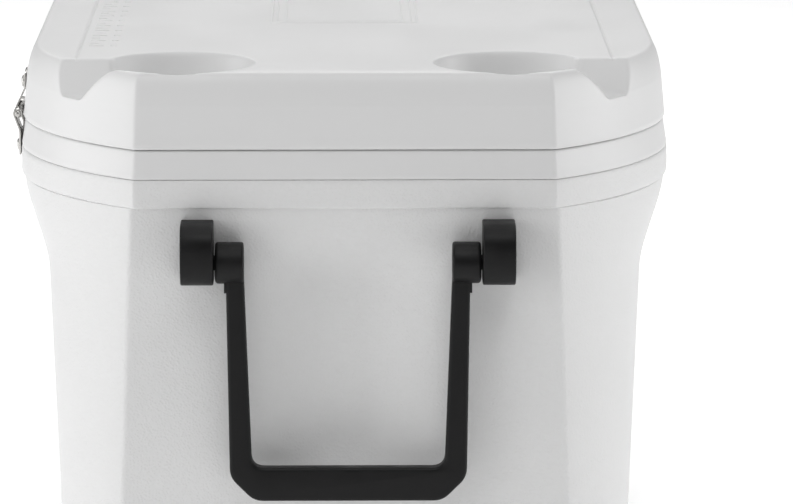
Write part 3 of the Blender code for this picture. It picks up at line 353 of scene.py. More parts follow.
def quarter(length, width, setback, inset, soft, steps):
    """A quarter outline from the middle of a side, round the corner, to the middle of an end."""
    radius = setback / (1 - math.cos(CORNER_TURN))
    centre = (length - radius * math.sin(CORNER_TURN), width - radius)
    reach = radius - inset
    turn = math.asin((length - inset - centre[0]) / reach)
    crease = (centre[0] + reach * math.sin(turn), centre[1] + reach * math.cos(turn))
    last = turn - soft / reach
    points = [(centre[0] * i / steps[0], width - inset) for i in range(steps[0])]
    for i in range(steps[1] + 1):
        angle = last * i / steps[1]
        points.append((centre[0] + reach * math.sin(angle), centre[1] + reach * math.cos(angle)))
    start, stop = np.array(points[-1]), np.array((length - inset, crease[1] - soft))
    for i in range(1, steps[2] + 1):
        t = i / steps[2]
        points.append(tuple(start * (1 - t) ** 2 + np.array(crease) * 2 * t * (1 - t) + stop * t * t))
    points += [(length - inset, stop[1] * (1 - i / steps[3])) for i in range(1, steps[3] + 1)]
    return np.array(points)


def ring(plan, z):
    """Mirror a quarter outline into a whole ring at a height."""
    around = np.vstack((plan, (plan * (1, -1))[::-1][1:], (plan * (-1, -1))[1:], (plan * (-1, 1))[::-1][1:-1]))
    return np.column_stack((around, np.full(len(around), z)))


def rim_ring(inset, z, soft=0.0016, steps=TUB_STEPS):
    return ring(quarter(HALF_LENGTH, HALF_WIDTH, RIM_SETBACK, inset, soft, steps), z)


def liner_ring(inset, z, steps=TUB_STEPS):
    fall = (SEAM - z) * math.tan(math.radians(3.0))
    return ring(quarter(MOUTH_LENGTH - fall, MOUTH_WIDTH - fall, LINER_SETBACK, inset, 0.010, steps), z)


def smoothstep(t):
    t = np.clip(t, 0.0, 1.0)
    return t * t * (3 - 2 * t)


def tub_inset(z):
    tub = bpy.context.scene.cooler_tub
    return tub.rim_step + (RIM_FOOT - z) * math.tan(tub.draft)


def tub_side(z):
    """Distance of the tub's outer side wall from the middle."""
    tub = bpy.context.scene.cooler_tub
    return HALF_WIDTH - tub_inset(z) - tub.shoulder_inset * float(smoothstep((RIM_FOOT - z) / tub.shoulder_height))


def tub_ring(inset, z):
    """The tub's outside below the rim band, with the hand recesses pressed in."""
    tub = bpy.context.scene.cooler_tub
    length = HALF_LENGTH - tub_inset(z)
    share = (RIM_FOOT - z) / (RIM_FOOT - GROUND_GAP)
    crease = HALF_WIDTH - RIM_SETBACK + CREASE_STEP + CREASE_SPREAD * share
    side = tub_side(z)
    loop = ring(quarter(length, side, side - crease, inset, tub.crease, TUB_STEPS), z)
    at_end = np.abs(loop[:, 0]) > length - inset - 1e-6
    depth = recess(loop[:, 1], z) * at_end
    loop[:, 0] -= np.sign(loop[:, 0]) * depth
    return loop


def recess(y, z):
    """Depth of the soft hand recess at a place on an end wall."""
    tub = bpy.context.scene.cooler_tub
    across = smoothstep((0.0710 - np.abs(y + 0.0021)) / 0.0620)
    top = float(smoothstep((SEAM - 0.0530 - z) / 0.0380))
    foot = float(smoothstep((z - (SEAM - 0.2300)) / 0.0380))
    return tub.scoop_depth * across * top * foot


# ============================================================ materials
def socket(group, name, kind, way, default=None):
    made = group.interface.new_socket(name=name, in_out=way, socket_type=kind)
    if default is not None:
        made.default_value = default
    return made


class Nodes:
    """A short way to write a node tree."""

    def __init__(self, tree):
        self.tree = tree

    def add(self, kind, inputs=None, **settings):
        node = self.tree.nodes.new(kind)
        for key, value in settings.items():
            setattr(node, key, value)
        for key, value in (inputs or {}).items():
            self.feed(node.inputs[key], value)
        return node

    def feed(self, target, value):
        if isinstance(value, bpy.types.NodeSocket):
            self.tree.links.new(value, target)
        else:
            target.default_value = value

    def maths(self, operation, a, b=0.0, c=0.0):
        node = self.add("ShaderNodeMath", operation=operation)
        for target, value in zip(node.inputs, (a, b, c)):
            self.feed(target, value)
        return node.outputs[0]

    def ramp(self, value, low, high, to_low=0.0, to_high=1.0):
        node = self.add("ShaderNodeMapRange", {"Value": value, "From Min": low, "From Max": high,
                                               "To Min": to_low, "To Max": to_high})
        node.interpolation_type = "SMOOTHSTEP"
        return node.outputs[0]

    def noise(self, vector, scale, detail=2.0, rough=0.5):
        return self.add("ShaderNodeTexNoise", {"Vector": vector, "Scale": scale, "Detail": detail,
                                               "Roughness": rough}).outputs["Fac"]


def group_of(name, inputs, outputs, build):
    """Make a shared node group once."""
    known = bpy.data.node_groups.get(name)
    if known:
        return known
    group = bpy.data.node_groups.new(name, "ShaderNodeTree")
    for label, kind, default in inputs:
        socket(group, label, kind, "INPUT", default)
    for label, kind in outputs:
        socket(group, label, kind, "OUTPUT")
    nodes = Nodes(group)
    start = nodes.add("NodeGroupInput")
    end = nodes.add("NodeGroupOutput")
    for label, value in build(nodes, start.outputs).items():
        nodes.feed(end.inputs[label], value)
    return group


def pebble_group():
    """Leathery moulded texture: rounded pebbles of uneven size, broken up by finer grain."""
    def build(nodes, given):
        place = nodes.add("ShaderNodeTexCoord").outputs["Object"]
        bend = nodes.add("ShaderNodeTexNoise", {"Vector": place, "Scale": 140.0, "Detail": 1.0}).outputs["Color"]
        shifted = nodes.add("ShaderNodeVectorMath", operation="MULTIPLY_ADD")
        nodes.feed(shifted.inputs[0], bend)
        nodes.feed(shifted.inputs[1], (0.0016, 0.0016, 0.0016))
        nodes.feed(shifted.inputs[2], place)
        cells = nodes.add("ShaderNodeTexVoronoi", {"Vector": shifted.outputs[0], "Scale": given["Scale"],
                                                   "Smoothness": 0.6}, feature="SMOOTH_F1")
        rounds = nodes.ramp(cells.outputs["Distance"], 0.05, 0.62, 1.0, 0.0)
        large = nodes.noise(place, 210.0, 3.0, 0.6)
        fine = nodes.noise(place, 1500.0, 2.0, 0.5)
        height = nodes.maths("MULTIPLY_ADD", large, 0.9, rounds)
        height = nodes.maths("MULTIPLY_ADD", fine, given["Grain"], height)
        return {"Height": height, "Hollow": nodes.ramp(rounds, 0.15, 0.75, 1.0, 0.0)}
    return group_of("moulded_pebble", [("Scale", "NodeSocketFloat", 520.0), ("Grain", "NodeSocketFloat", 0.25)],
                    [("Height", "NodeSocketFloat"), ("Hollow", "NodeSocketFloat")], build)


def handling_group():
    """Faint cloudy shine and rubbed patches that every moulded surface shows."""
    def build(nodes, given):
        place = nodes.add("ShaderNodeTexCoord").outputs["Object"]
        cloud = nodes.noise(place, given["Size"], 4.0, 0.55)
        patches = nodes.ramp(cloud, 0.35, 0.70)
        streak_space = nodes.add("ShaderNodeMapping", {"Vector": place, "Scale": (9.0, 40.0, 160.0)})
        streaks = nodes.ramp(nodes.noise(streak_space.outputs[0], 3.0, 5.0, 0.6), 0.52, 0.80)
        specks = nodes.ramp(nodes.noise(place, 900.0, 1.0), 0.66, 0.78)
        both = nodes.maths("MULTIPLY_ADD", streaks, 0.4, patches)
        rough = nodes.maths("MULTIPLY_ADD", both, given["Roughness Change"], given["Roughness"])
        tint = nodes.maths("MULTIPLY_ADD", patches, given["Tint"], 1.0)
        tint = nodes.maths("MULTIPLY_ADD", specks, nodes.maths("MULTIPLY", given["Tint"], 1.5), tint)
        colour = nodes.add("ShaderNodeVectorMath", operation="SCALE")
        nodes.feed(colour.inputs[0], given["Color"])
        nodes.feed(colour.inputs["Scale"], tint)
        return {"Color": colour.outputs[0], "Roughness": rough, "Mask": patches}
    return group_of("handling_marks",
                    [("Color", "NodeSocketColor", (0.8, 0.8, 0.8, 1.0)), ("Roughness", "NodeSocketFloat", 0.4),
                     ("Roughness Change", "NodeSocketFloat", 0.1), ("Tint", "NodeSocketFloat", -0.02),
                     ("Size", "NodeSocketFloat", 14.0)],
                    [("Color", "NodeSocketColor"), ("Roughness", "NodeSocketFloat"), ("Mask", "NodeSocketFloat")],
                    build)


def ripple_group():
    """The slight unevenness of a smooth moulded or rolled surface."""
    def build(nodes, given):
        place = nodes.add("ShaderNodeTexCoord").outputs["Object"]
        stretched = nodes.add("ShaderNodeVectorMath", operation="MULTIPLY")
        nodes.feed(stretched.inputs[0], place)
        nodes.feed(stretched.inputs[1], given["Stretch"])
        wave = nodes.noise(stretched.outputs[0], given["Scale"], 3.0, 0.5)
        fine = nodes.noise(stretched.outputs[0], nodes.maths("MULTIPLY", given["Scale"], 9.0), 2.0, 0.5)
        return {"Height": nodes.maths("MULTIPLY_ADD", fine, given["Fine"], wave)}
    return group_of("moulded_ripple",
                    [("Scale", "NodeSocketFloat", 60.0), ("Fine", "NodeSocketFloat", 0.2),
                     ("Stretch", "NodeSocketVector", (1.0, 1.0, 1.0))],
                    [("Height", "NodeSocketFloat")], build)


def new_finish(name, colour, roughness, change, tint, size, metallic=0.0):
    """A material with its shader and the shared handling marks; returns material, nodes and shader."""
    material = bpy.data.materials.new(f"{name}_finish")
    material.use_nodes = True
    nodes = Nodes(material.node_tree)
    shader = material.node_tree.nodes["Principled BSDF"]
    shader.inputs["Metallic"].default_value = metallic
    marks = nodes.add("ShaderNodeGroup", node_tree=handling_group())
    nodes.feed(marks.inputs["Color"], (*colour, 1.0))
    for label, value in (("Roughness", roughness), ("Roughness Change", change), ("Tint", tint), ("Size", size)):
        nodes.feed(marks.inputs[label], value)
    nodes.feed(shader.inputs["Base Color"], marks.outputs["Color"])
    nodes.feed(shader.inputs["Roughness"], marks.outputs["Roughness"])
    material.diffuse_color = (*colour, 1.0)
    return material, nodes, shader


def bump(nodes, shader, height, strength, distance):
    node = nodes.add("ShaderNodeBump", {"Strength": strength, "Distance": distance, "Height": height})
    nodes.feed(shader.inputs["Normal"], node.outputs["Normal"])


def finish(name):
    """The material of that name, made the first time it is asked for."""
    known = bpy.data.materials.get(f"{name}_finish")
    if known:
        return known
    looks = bpy.context.scene.cooler_finish
    if name == "pebbled_white":
        material, nodes, shader = new_finish(name, looks.white, 0.46, 0.07, -0.012, 9.0)
        grain = nodes.add("ShaderNodeGroup", {"Scale": 560.0, "Grain": 0.22}, node_tree=pebble_group())
        bump(nodes, shader, grain.outputs["Height"], looks.pebble, 0.00034)
        return material
    if name in ("smooth_white", "liner_white"):
        material, nodes, shader = new_finish(name, looks.white, 0.36, 0.08, -0.010, 12.0)
        ripple = nodes.add("ShaderNodeGroup", {"Scale": 42.0, "Fine": 0.16}, node_tree=ripple_group())
        bump(nodes, shader, ripple.outputs["Height"], 0.10, 0.0010)
        return material
    if name == "black_plastic":
        material, nodes, shader = new_finish(name, looks.black, 0.40, 0.14, 0.35, 45.0)
        shader.inputs["Specular IOR Level"].default_value = 0.22
        grain = nodes.add("ShaderNodeGroup", {"Scale": 1300.0, "Grain": 0.5}, node_tree=pebble_group())
        bump(nodes, shader, grain.outputs["Height"], 0.22, 0.00012)
        return material
    if name == "wheel_plastic":
        material, nodes, shader = new_finish(name, looks.black, 0.46, 0.14, 0.30, 35.0)
        ripple = nodes.add("ShaderNodeGroup", {"Scale": 160.0, "Fine": 0.4}, node_tree=ripple_group())
        bump(nodes, shader, ripple.outputs["Height"], 0.18, 0.0004)
        return material
    if name == "rubber":
        material, nodes, shader = new_finish(name, looks.rubber, 0.74, 0.10, 0.40, 60.0)
        grain = nodes.add("ShaderNodeGroup", {"Scale": 900.0, "Grain": 0.8}, node_tree=pebble_group())
        bump(nodes, shader, grain.outputs["Height"], 0.35, 0.00018)
        return material
    if name == "stainless":
        material, nodes, shader = new_finish(name, looks.steel, 0.20, 0.12, -0.06, 90.0, 1.0)
        ripple = nodes.add("ShaderNodeGroup", {"Scale": 260.0, "Fine": 1.0, "Stretch": (0.12, 3.0, 3.0)},
                           node_tree=ripple_group())
        bump(nodes, shader, ripple.outputs["Height"], 0.25, 0.00010)
        return material
    material, nodes, shader = new_finish(name, looks.foam, 0.92, 0.05, -0.12, 30.0)
    grain = nodes.add("ShaderNodeGroup", {"Scale": 380.0, "Grain": 1.0}, node_tree=pebble_group())
    bump(nodes, shader, grain.outputs["Height"], 0.8, 0.0006)
    return material


def refinish(node, name):
    """Give a frame node that keeps its own shape a finish."""
    item = frame["nodes"][node]
    item.data.materials.clear()
    item.data.materials.append(finish(name))


# ============================================================ the tub
SPLIT = 0.186                 # height between the plain upper tub and the lower part with its openings


def well_wall():
    """Distance of the wheel wells' inner wall from the middle."""
    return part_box("wheel_back")[0].y - 0.0055


def upper_tub():
    """Rings of the tub above the split, outside from the bottom up and then inside down again."""
    tub = bpy.context.scene.cooler_tub
    ledge = RIM_FOOT - tub.rim_step
    levels = list(np.linspace(SPLIT, 0.215, 9)) + list(np.linspace(0.221, 0.325, 20))
    levels += list(np.linspace(0.329, ledge - 0.0012, 16)) + [ledge - 0.0004, ledge]
    rings = [tub_ring(0, z) for z in levels]
    rings.append(rim_ring(tub.rim_step * 0.45, ledge + 0.0005))
    rings.append(rim_ring(tub.rim_step * 0.12, ledge + 0.0012))
    rings.append(rim_ring(0, ledge + 0.0022))
    for z in np.linspace(ledge + 0.006, COLLAR_FOOT - 0.0052, 3):
        rings.append(rim_ring(0, z))
    for angle in np.linspace(15, 90, 5):
        turn = math.radians(angle)
        rings.append(rim_ring(0.0015 * (1 - math.cos(turn)), COLLAR_FOOT - 0.0042 * (1 - math.sin(turn))))
    lip = 0.0029 + WALL + REST_GAP + 0.0012
    lip_top = SEAM - WALL - REST_GAP
    rings += [rim_ring(lip, COLLAR_FOOT), rim_ring(lip, lip_top), rim_ring(lip + WALL, lip_top),
              rim_ring(lip + WALL, RIM_FOOT)]
    inner = [tub_ring(WALL, z) for z in levels[::-1][6:-1:3]]
    return rings + inner + [tub_ring(WALL, SPLIT)]


def lower_tub():
    """Rings of the tub below the split: the same way round, closed at the underside."""
    levels = [SPLIT, 0.174, 0.162, 0.142, 0.120, 0.098, 0.076, 0.054, 0.036]
    inside = [tub_ring(WALL, z) for z in levels]
    for angle in np.linspace(0, 90, 4):
        turn = math.radians(angle)
        height = GROUND_GAP + WALL + 0.005 * (1 - math.sin(turn))
        inside.append(tub_ring(WALL + 0.005 * (1 - math.cos(turn)), height))
    outside = []
    for angle in np.linspace(90, 0, 6):
        turn = math.radians(angle)
        outside.append(tub_ring(0.008 * (1 - math.cos(turn)), GROUND_GAP + 0.008 * (1 - math.sin(turn))))
    return inside, outside + [tub_ring(0, z) for z in levels[::-1]]


def tub_cutters():
    """Wheel wells, the hollows under the wheel box, the axle's bore, the tail chamfer and the drain."""
    face = well_wall()
    low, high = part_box("tyre_back")
    axle = ((low.x + high.x) / 2, (low.z + high.z) / 2)
    well = (high.z - low.z) / 2 + 0.008
    tools = []
    for name, sign in SIDES:
        span = sorted((sign * face, sign * 1.0))
        tools.append(prism(circle(well, 72, axle), "Y", *span))
        tools.append(block((axle[0] - well, span[0], -1), (1.0, span[1], axle[1])))
        inner_span = sorted((sign * 0.002, sign * (face - 0.004)))
        back = HALF_LENGTH - tub_inset(GROUND_GAP) - 0.004
        tools.append(rounded(block((axle[0] - well, inner_span[0], -0.5), (back, inner_span[1], axle[1] + well)),
                             0.006))
    tools.append(prism(circle(0.0053, 32, axle), "Y", -0.9, 0.9))
    tail = HALF_LENGTH - tub_inset(GROUND_GAP)
    rise = (1.0 - tail + 0.092) * 0.056 / 0.092
    tools.append(prism([(tail - 0.092, GROUND_GAP - REST_GAP), (1.0, -1.0), (1.0, GROUND_GAP + rise)], "Y", -1, 1))
    spout_low, spout_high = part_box("drain_spout")
    middle = (spout_low.z + spout_high.z) / 2
    tools.append(prism(circle(0.0123, 48, (0, middle)), "X", -1.0, -0.2))
    return tools


def runner(sign):
    """One of the two skids at the towing end."""
    start, stop, slope = -HALF_LENGTH + 0.052, -HALF_LENGTH + 0.162, 0.012
    top = GROUND_GAP + WALL / 2
    side = [(start, top), (start, slope), (start + slope, 0), (stop - slope, 0), (stop, slope), (stop, top)]
    edges = sorted((sign * 0.101, sign * 0.135))
    return rounded(prism(side, "Y", *edges), 0.0020)


def tub_mesh():
    """The tub's shell: a plain upper part joined to a lower part with the openings cut in it."""
    inside, outside = lower_tub()
    lower = solid("lower", loft(inside[::-1] + outside[::-1]))
    low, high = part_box("tyre_back")
    box_x = (low.x + high.x) / 2 - (high.x - low.x) / 2 - 0.012
    core = solid("core", loft([tub_ring(WALL / 2, z) for z in (0.022, 0.050, 0.100, 0.150, SPLIT - 0.001)]))
    step = solid("step", block((box_x, -1, -1), (1, 1, high.z + 0.012)))
    boolean(step, core, "INTERSECT")
    boolean(lower, step, "UNION")
    spout_low, spout_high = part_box("drain_spout")
    middle = (spout_low.z + spout_high.z) / 2
    end = HALF_LENGTH - tub_inset(middle) + 0.003
    boss = soften([(0, end), (0.020, end), (0.020, end - 0.012), (0, end - 0.012)], [0, 0.0012, 0, 0])
    extras = [placed(turned(boss, 48), Matrix.Translation((0, 0, middle)) @ Matrix.Rotation(-math.pi / 2, 4, "Y"))]
    extras += [runner(sign) for _, sign in SIDES]
    boolean(lower, solid("extras", joined(extras)), "UNION")
    for tool in tub_cutters():
        boolean(lower, solid("tool", tool), "DIFFERENCE")
    bm = bmesh.new()
    bm.from_mesh(lower.data)
    caps = [f for f in bm.faces if all(abs(v.co.z - SPLIT) < 1e-6 for v in f.verts)]
    bmesh.ops.delete(bm, geom=caps, context="FACES")
    mesh = loft(upper_tub(), close=False)
    bm.from_mesh(mesh)
    bpy.data.meshes.remove(mesh)
    bmesh.ops.remove_doubles(bm, verts=[v for v in bm.verts if abs(v.co.z - SPLIT) < 1e-5], dist=2e-5)
    whole = bpy.data.meshes.new("tub")
    bm.to_mesh(whole)
    bm.free()
    bpy.data.meshes.remove(drop(lower))
    return outward(whole, 28)


def liner_mesh():
    """The liner: collar, mouth, inside walls and floor, with a step over the wheels."""
    tub = bpy.context.scene.cooler_tub
    foot = COLLAR_FOOT + REST_GAP
    under = SEAM - WALL
    edge = tub.collar_edge
    cove = 0.012

    def corner(inset, floor, radius, first, last, steps):
        turns = [math.radians(a) for a in np.linspace(first, last, steps)]
        return [liner_ring(inset + radius * (1 - math.sin(t)), floor + radius * (1 - math.cos(t))) for t in turns]

    rings = corner(-WALL, LINER_FLOOR - WALL, cove + WALL, 0, 90, 5) + [liner_ring(-WALL, under)]
    rings += [rim_ring(0.0029 + WALL, under), rim_ring(0.0029 + WALL, foot), rim_ring(0.0009, foot)]
    rings += [rim_ring(0.0004, foot + 0.0003), rim_ring(0.0003, foot + 0.0010)]
    for t in np.linspace(0.2, 0.85, 3):
        rings.append(rim_ring(REST_GAP + (0.0029 - REST_GAP) * t, foot + (SEAM - edge - foot) * t))
    for angle in np.linspace(0, 90, 6):
        turn = math.radians(angle)
        rings.append(rim_ring(0.0029 + edge * (1 - math.cos(turn)), SEAM - edge * (1 - math.sin(turn))))
    rings.append(liner_ring(-0.0030, SEAM))
    for angle in (30, 60, 90):
        turn = math.radians(angle)
        rings.append(liner_ring(-0.0030 * (1 - math.sin(turn)), SEAM - 0.0030 * (1 - math.cos(turn))))
    rings += [liner_ring(0, z) for z in np.linspace(SEAM - 0.03, LINER_FLOOR + 0.04, 6)]
    rings += corner(0, LINER_FLOOR, cove, 90, 0, 7)
    liner = solid("liner", loft(rings))
    low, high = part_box("tyre_back")
    step_x = low.x - 0.012 - 0.018
    step_z = high.z + 0.012 + 0.018
    hull = solid("hull", loft([liner_ring(-WALL / 2, z) for z in (0.0465, 0.060, 0.200, 0.300)]))
    step = solid("step", rounded(block((step_x - WALL, -1, -1), (1, 1, step_z + WALL)), 0.004, 4))
    boolean(step, hull, "INTERSECT")
    boolean(liner, step, "UNION")
    boolean(liner, solid("under", block((step_x, -1, -1), (1, 1, step_z))), "DIFFERENCE")
    spout_low, spout_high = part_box("drain_spout")
    gasket_low, gasket_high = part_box("drain_gasket")
    middle = (spout_low.z + spout_high.z) / 2
    face = gasket_low.x - REST_GAP
    boss = prism(circle(0.020, 48, (0, middle)), "X", face - 0.0135, face)
    boolean(liner, solid("boss", rounded(boss, 0.0010)), "UNION")
    boolean(liner, solid("hole", prism(circle(0.0123, 48, (0, middle)), "X", -1.0, -0.2)), "DIFFERENCE")
    return outward(drop(liner), 28)


# ============================================================ the lid
def smooth_min(a, b, k):
    h = np.clip(k - np.abs(a - b), 0.0, None) / k
    return np.minimum(a, b) - h * h * k * 0.25


def smooth_max(a, b, k):
    return -smooth_min(-a, -b, k)


CUP_FROM_END = 0.061
CUP_FROM_MIDDLE = 0.110
TROUGH_FROM_END = 0.0535
TROUGH_FLOOR = 0.0105
TROUGH_TOP = 0.025
GROOVE_AT = 0.180
GROOVE_END = 0.372


def hollow_height(x, y):
    """Height of the cup holders' and troughs' surface over the lid's plan, by symmetry for all four."""
    lid = bpy.context.scene.cooler_lid
    ax, ay = np.abs(x), np.abs(y)
    floor = LID_TOP - lid.cup_depth
    away = np.hypot(ax - (HALF_LENGTH - CUP_FROM_END), ay - CUP_FROM_MIDDLE)
    wall = floor + (away - lid.cup_floor) * lid.cup_depth / (lid.cup_radius - lid.cup_floor)
    cup = smooth_max(wall, np.full_like(wall, floor), lid.cup_round * 1.6)
    across = np.abs(ax - (HALF_LENGTH - TROUGH_FROM_END))
    bank = floor + (across - TROUGH_FLOOR) * lid.cup_depth / (TROUGH_TOP - TROUGH_FLOOR)
    trough = smooth_max(bank, np.full_like(bank, floor), lid.cup_round)
    trough = trough + np.where(ay < CUP_FROM_MIDDLE, (CUP_FROM_MIDDLE - ay) * 4.0, 0.0)
    return smooth_min(cup, trough, 0.004)


def pressed(x, y, height):
    """Height of the lid's surface with cups, troughs and the long grooves pressed in."""
    lid = bpy.context.scene.cooler_lid
    hollow = smooth_min(height, hollow_height(x, y), lid.cup_round)
    side = np.abs(y) - GROOVE_AT
    groove = np.where(side > 0, smoothstep(1 - side / 0.0020), smoothstep(1 + side / 0.0010))
    ends = smoothstep((GROOVE_END - np.abs(x)) / 0.004)
    return hollow - lid.groove_depth * groove * ends


def inside_deck(x, y, inset):
    """Whether points lie inside the deck's flat outline."""
    radius = RIM_SETBACK / (1 - math.cos(CORNER_TURN))
    cx, cy = HALF_LENGTH - radius * math.sin(CORNER_TURN), HALF_WIDTH - radius
    ax, ay = np.abs(x), np.abs(y)
    arc = np.hypot(ax - cx, ay - cy) < radius - inset
    return (ax < HALF_LENGTH - inset) & (ay < HALF_WIDTH - inset) & ((ax < cx) | (ay < cy) | arc)


def deck_points(inset):
    """Where the deck's surface is sampled: sparse on the flat, dense over cups, troughs and grooves."""
    lid = bpy.context.scene.cooler_lid
    points = []
    for x in np.arange(-0.432, 0.4321, 0.012):
        points += [(x, y) for y in np.arange(-0.210, 0.2101, 0.012)]
    flat = np.array(points)
    centre = np.hypot(np.abs(flat[:, 0]) - (HALF_LENGTH - CUP_FROM_END), np.abs(flat[:, 1]) - CUP_FROM_MIDDLE)
    in_trough = (np.abs(np.abs(flat[:, 0]) - (HALF_LENGTH - TROUGH_FROM_END)) < 0.031) & (
        np.abs(flat[:, 1]) > CUP_FROM_MIDDLE)
    in_groove = np.abs(np.abs(flat[:, 1]) - GROOVE_AT) < 0.004
    flat = flat[~((centre < 0.058) | in_trough | in_groove)]
    radii = [0.008, 0.016, 0.024, 0.031, 0.035, 0.0375, 0.0390, 0.0402, 0.0414, 0.0424, 0.0436, 0.0448, 0.0460,
             0.0470, 0.0479, 0.0487, 0.0494, 0.0501, 0.0508, 0.0516, 0.0526, 0.0540, 0.0560]
    cup = [(r * math.cos(a), r * math.sin(a)) for r in radii
           for a in np.linspace(0, 2 * math.pi, 112 if r > 0.03 else 40, endpoint=False)]
    cup.append((0.0, 0.0))
    offsets = [0.0, 0.004, 0.007, 0.0088, 0.0100, 0.0112, 0.0126, 0.0142, 0.0160, 0.0178, 0.0196, 0.0212, 0.0226,
               0.0238, 0.0248, 0.0258, 0.0270, 0.0286, 0.0305]
    offsets = sorted({s * o for o in offsets for s in (-1, 1)})
    trough = [(TROUGH_FROM_END - CUP_FROM_END - o, d) for o in offsets for d in np.arange(0.001, 0.100, 0.0025)]
    local = np.array([p for p in cup if not (p[1] > 0.001 and abs(p[0] - (CUP_FROM_END - TROUGH_FROM_END)) < 0.031)]
                     + [(-t[0], t[1]) for t in trough])
    grooves = [(x, o) for x in np.linspace(-GROOVE_END - 0.006, GROOVE_END + 0.006, 130)
               for o in (-0.0016, -0.0010, -0.0005, 0.0, 0.0007, 0.0014, 0.0021, 0.0028)]
    sets = [flat]
    for end in (-1, 1):
        for side in (-1, 1):
            sets.append(np.column_stack((end * (HALF_LENGTH - CUP_FROM_END + local[:, 0]),
                                         side * (CUP_FROM_MIDDLE + local[:, 1]))))
    for side in (-1, 1):
        sets.append(np.array([(x, side * (GROOVE_AT + o)) for x, o in grooves]))
    points = np.vstack(sets)
    return points[inside_deck(points[:, 0], points[:, 1], inset + 0.0009)]


def lid_levels():
    """(inset, height) of the lid's outside from its lower edge to the deck, and the ring where the top edge starts."""
    lid = bpy.context.scene.cooler_lid
    bottom = HALF_LENGTH - LID_HIGH.x
    rows = [(bottom + 0.0010, LID_FOOT), (bottom + 0.0003, LID_FOOT + 0.0003), (bottom, LID_FOOT + 0.0010)]
    for height in [0.004, 0.009, 0.014, 0.018] + list(np.arange(0.0200, lid.side_height - 0.0004, 0.0013)):
        rows.append((bottom + lid.side_inset * height / lid.side_height, SEAM + height))
    upper = bottom + lid.side_inset
    rows.append((upper, SEAM + lid.side_height))
    edge = len(rows) - 1
    start = math.radians(28)
    rise = LID_TOP - lid.mark_height - SEAM - lid.side_height
    for angle in np.linspace(start, math.pi / 2, 12)[1:]:
        across = lid.edge_width * (math.cos(start) - math.cos(angle)) / math.cos(start)
        up = rise * (math.sin(angle) - math.sin(start)) / (1 - math.sin(start))
        rows.append((upper + across, SEAM + lid.side_height + up))
    return rows, edge


def lid_mesh():
    """The lid's shell, with its deck triangulated finely where cups and troughs are pressed in."""
    lid = bpy.context.scene.cooler_lid
    rows, edge = lid_levels()
    deck = LID_TOP - lid.mark_height
    thick = 0.0016
    outer = [rim_ring(inset, z, steps=LID_STEPS) for inset, z in rows]
    count = len(outer[0])
    boundary = outer[-1][:, :2]
    inner_points = deck_points(rows[-1][0])
    plan = [Vector(p) for p in np.vstack((boundary, inner_points))]
    loop = [list(range(count))]
    made = delaunay_2d_cdt(plan, [], loop, 1, 1e-6, True)
    for level in outer:
        level[:, 2] = pressed(level[:, 0], level[:, 1], level[:, 2])
    low_rows = [rim_ring(inset + thick, z, steps=LID_STEPS) for inset, z in rows]
    for level, above in zip(low_rows, outer):
        level[:, 2] = np.maximum(above[:, 2] - thick * smoothstep((above[:, 2] - LID_FOOT) / 0.01), LID_FOOT)
    top = np.array([tuple(v) for v in made[0]])
    top_z = pressed(top[:, 0], top[:, 1], np.full(len(top), deck))
    vertices, faces = [np.vstack(outer)], []
    levels = len(outer)
    for level in range(levels - 1):
        faces += band(count, level * count, (level + 1) * count)
    base = levels * count
    index = {}
    extra = []
    for i, origins in enumerate(made[3]):
        ring_ids = [o for o in origins if o < count]
        if ring_ids:
            index[i] = (levels - 1) * count + ring_ids[0]
        else:
            index[i] = base + len(extra)
            extra.append((top[i, 0], top[i, 1], top_z[i]))
    faces += [tuple(index[v] for v in face) for face in made[2]]
    vertices.append(np.array(extra))
    total = base + len(extra)
    under = np.array(extra)
    under[:, 2] -= thick
    vertices += [np.vstack(low_rows), under]
    faces += [tuple(v + total for v in reversed(face)) for face in faces]
    faces += [(i, total + i, total + (i + 1) % count, (i + 1) % count) for i in range(count)]
    mesh = outward(mesh_of(np.vstack(vertices), faces))
    keep_crease(mesh, outer[edge], edge * count, count)
    return mesh


def keep_crease(mesh, loop, first, count):
    """Mark the ring where the lid's upright side meets its rolled edge as a hard edge, but not in a trough."""
    level = loop[:, 2].max() - 0.0001
    marks = np.zeros(len(mesh.edges), bool)
    ends = np.zeros(len(mesh.edges) * 2, np.int32)
    mesh.edges.foreach_get("vertices", ends)
    ends = ends.reshape(-1, 2)
    on_ring = ((ends >= first) & (ends < first + count)).all(axis=1)
    for i in np.nonzero(on_ring)[0]:
        marks[i] = all(loop[e - first, 2] > level for e in ends[i])
    attribute = mesh.attributes.get("sharp_edge") or mesh.attributes.new("sharp_edge", "BOOLEAN", "EDGE")
    attribute.data.foreach_set("value", marks)


def rib(points, width, height, closed=True):
    """A low rounded rib along a path on the deck."""
    section = [(-0.5, 0.0), (-0.5, 0.35), (-0.30, 0.85), (0.0, 1.0), (0.30, 0.85), (0.5, 0.35), (0.5, 0.0)]
    count = len(points)
    rings = []
    for i, point in enumerate(points):
        before = Vector(points[i - 1]) if closed or i else Vector(point)
        after = Vector(points[(i + 1) % count]) if closed or i < count - 1 else Vector(point)
        along = (after - before).normalized()
        across = Vector((along.y, -along.x))
        rings.append([(point[0] + across.x * a * width, point[1] + across.y * a * width,
                       LID_TOP - height + b * height) for a, b in section])
    faces = []
    size = len(section)
    for i in range(count if closed else count - 1):
        j = (i + 1) % count
        faces += [(i * size + k, i * size + (k + 1) % size, j * size + (k + 1) % size, j * size + k)
                  for k in range(size)]
    if not closed:
        faces += [tuple(range(size)), tuple(range((count - 1) * size, count * size))[::-1]]
    return outward(mesh_of([v for r in rings for v in r], faces))


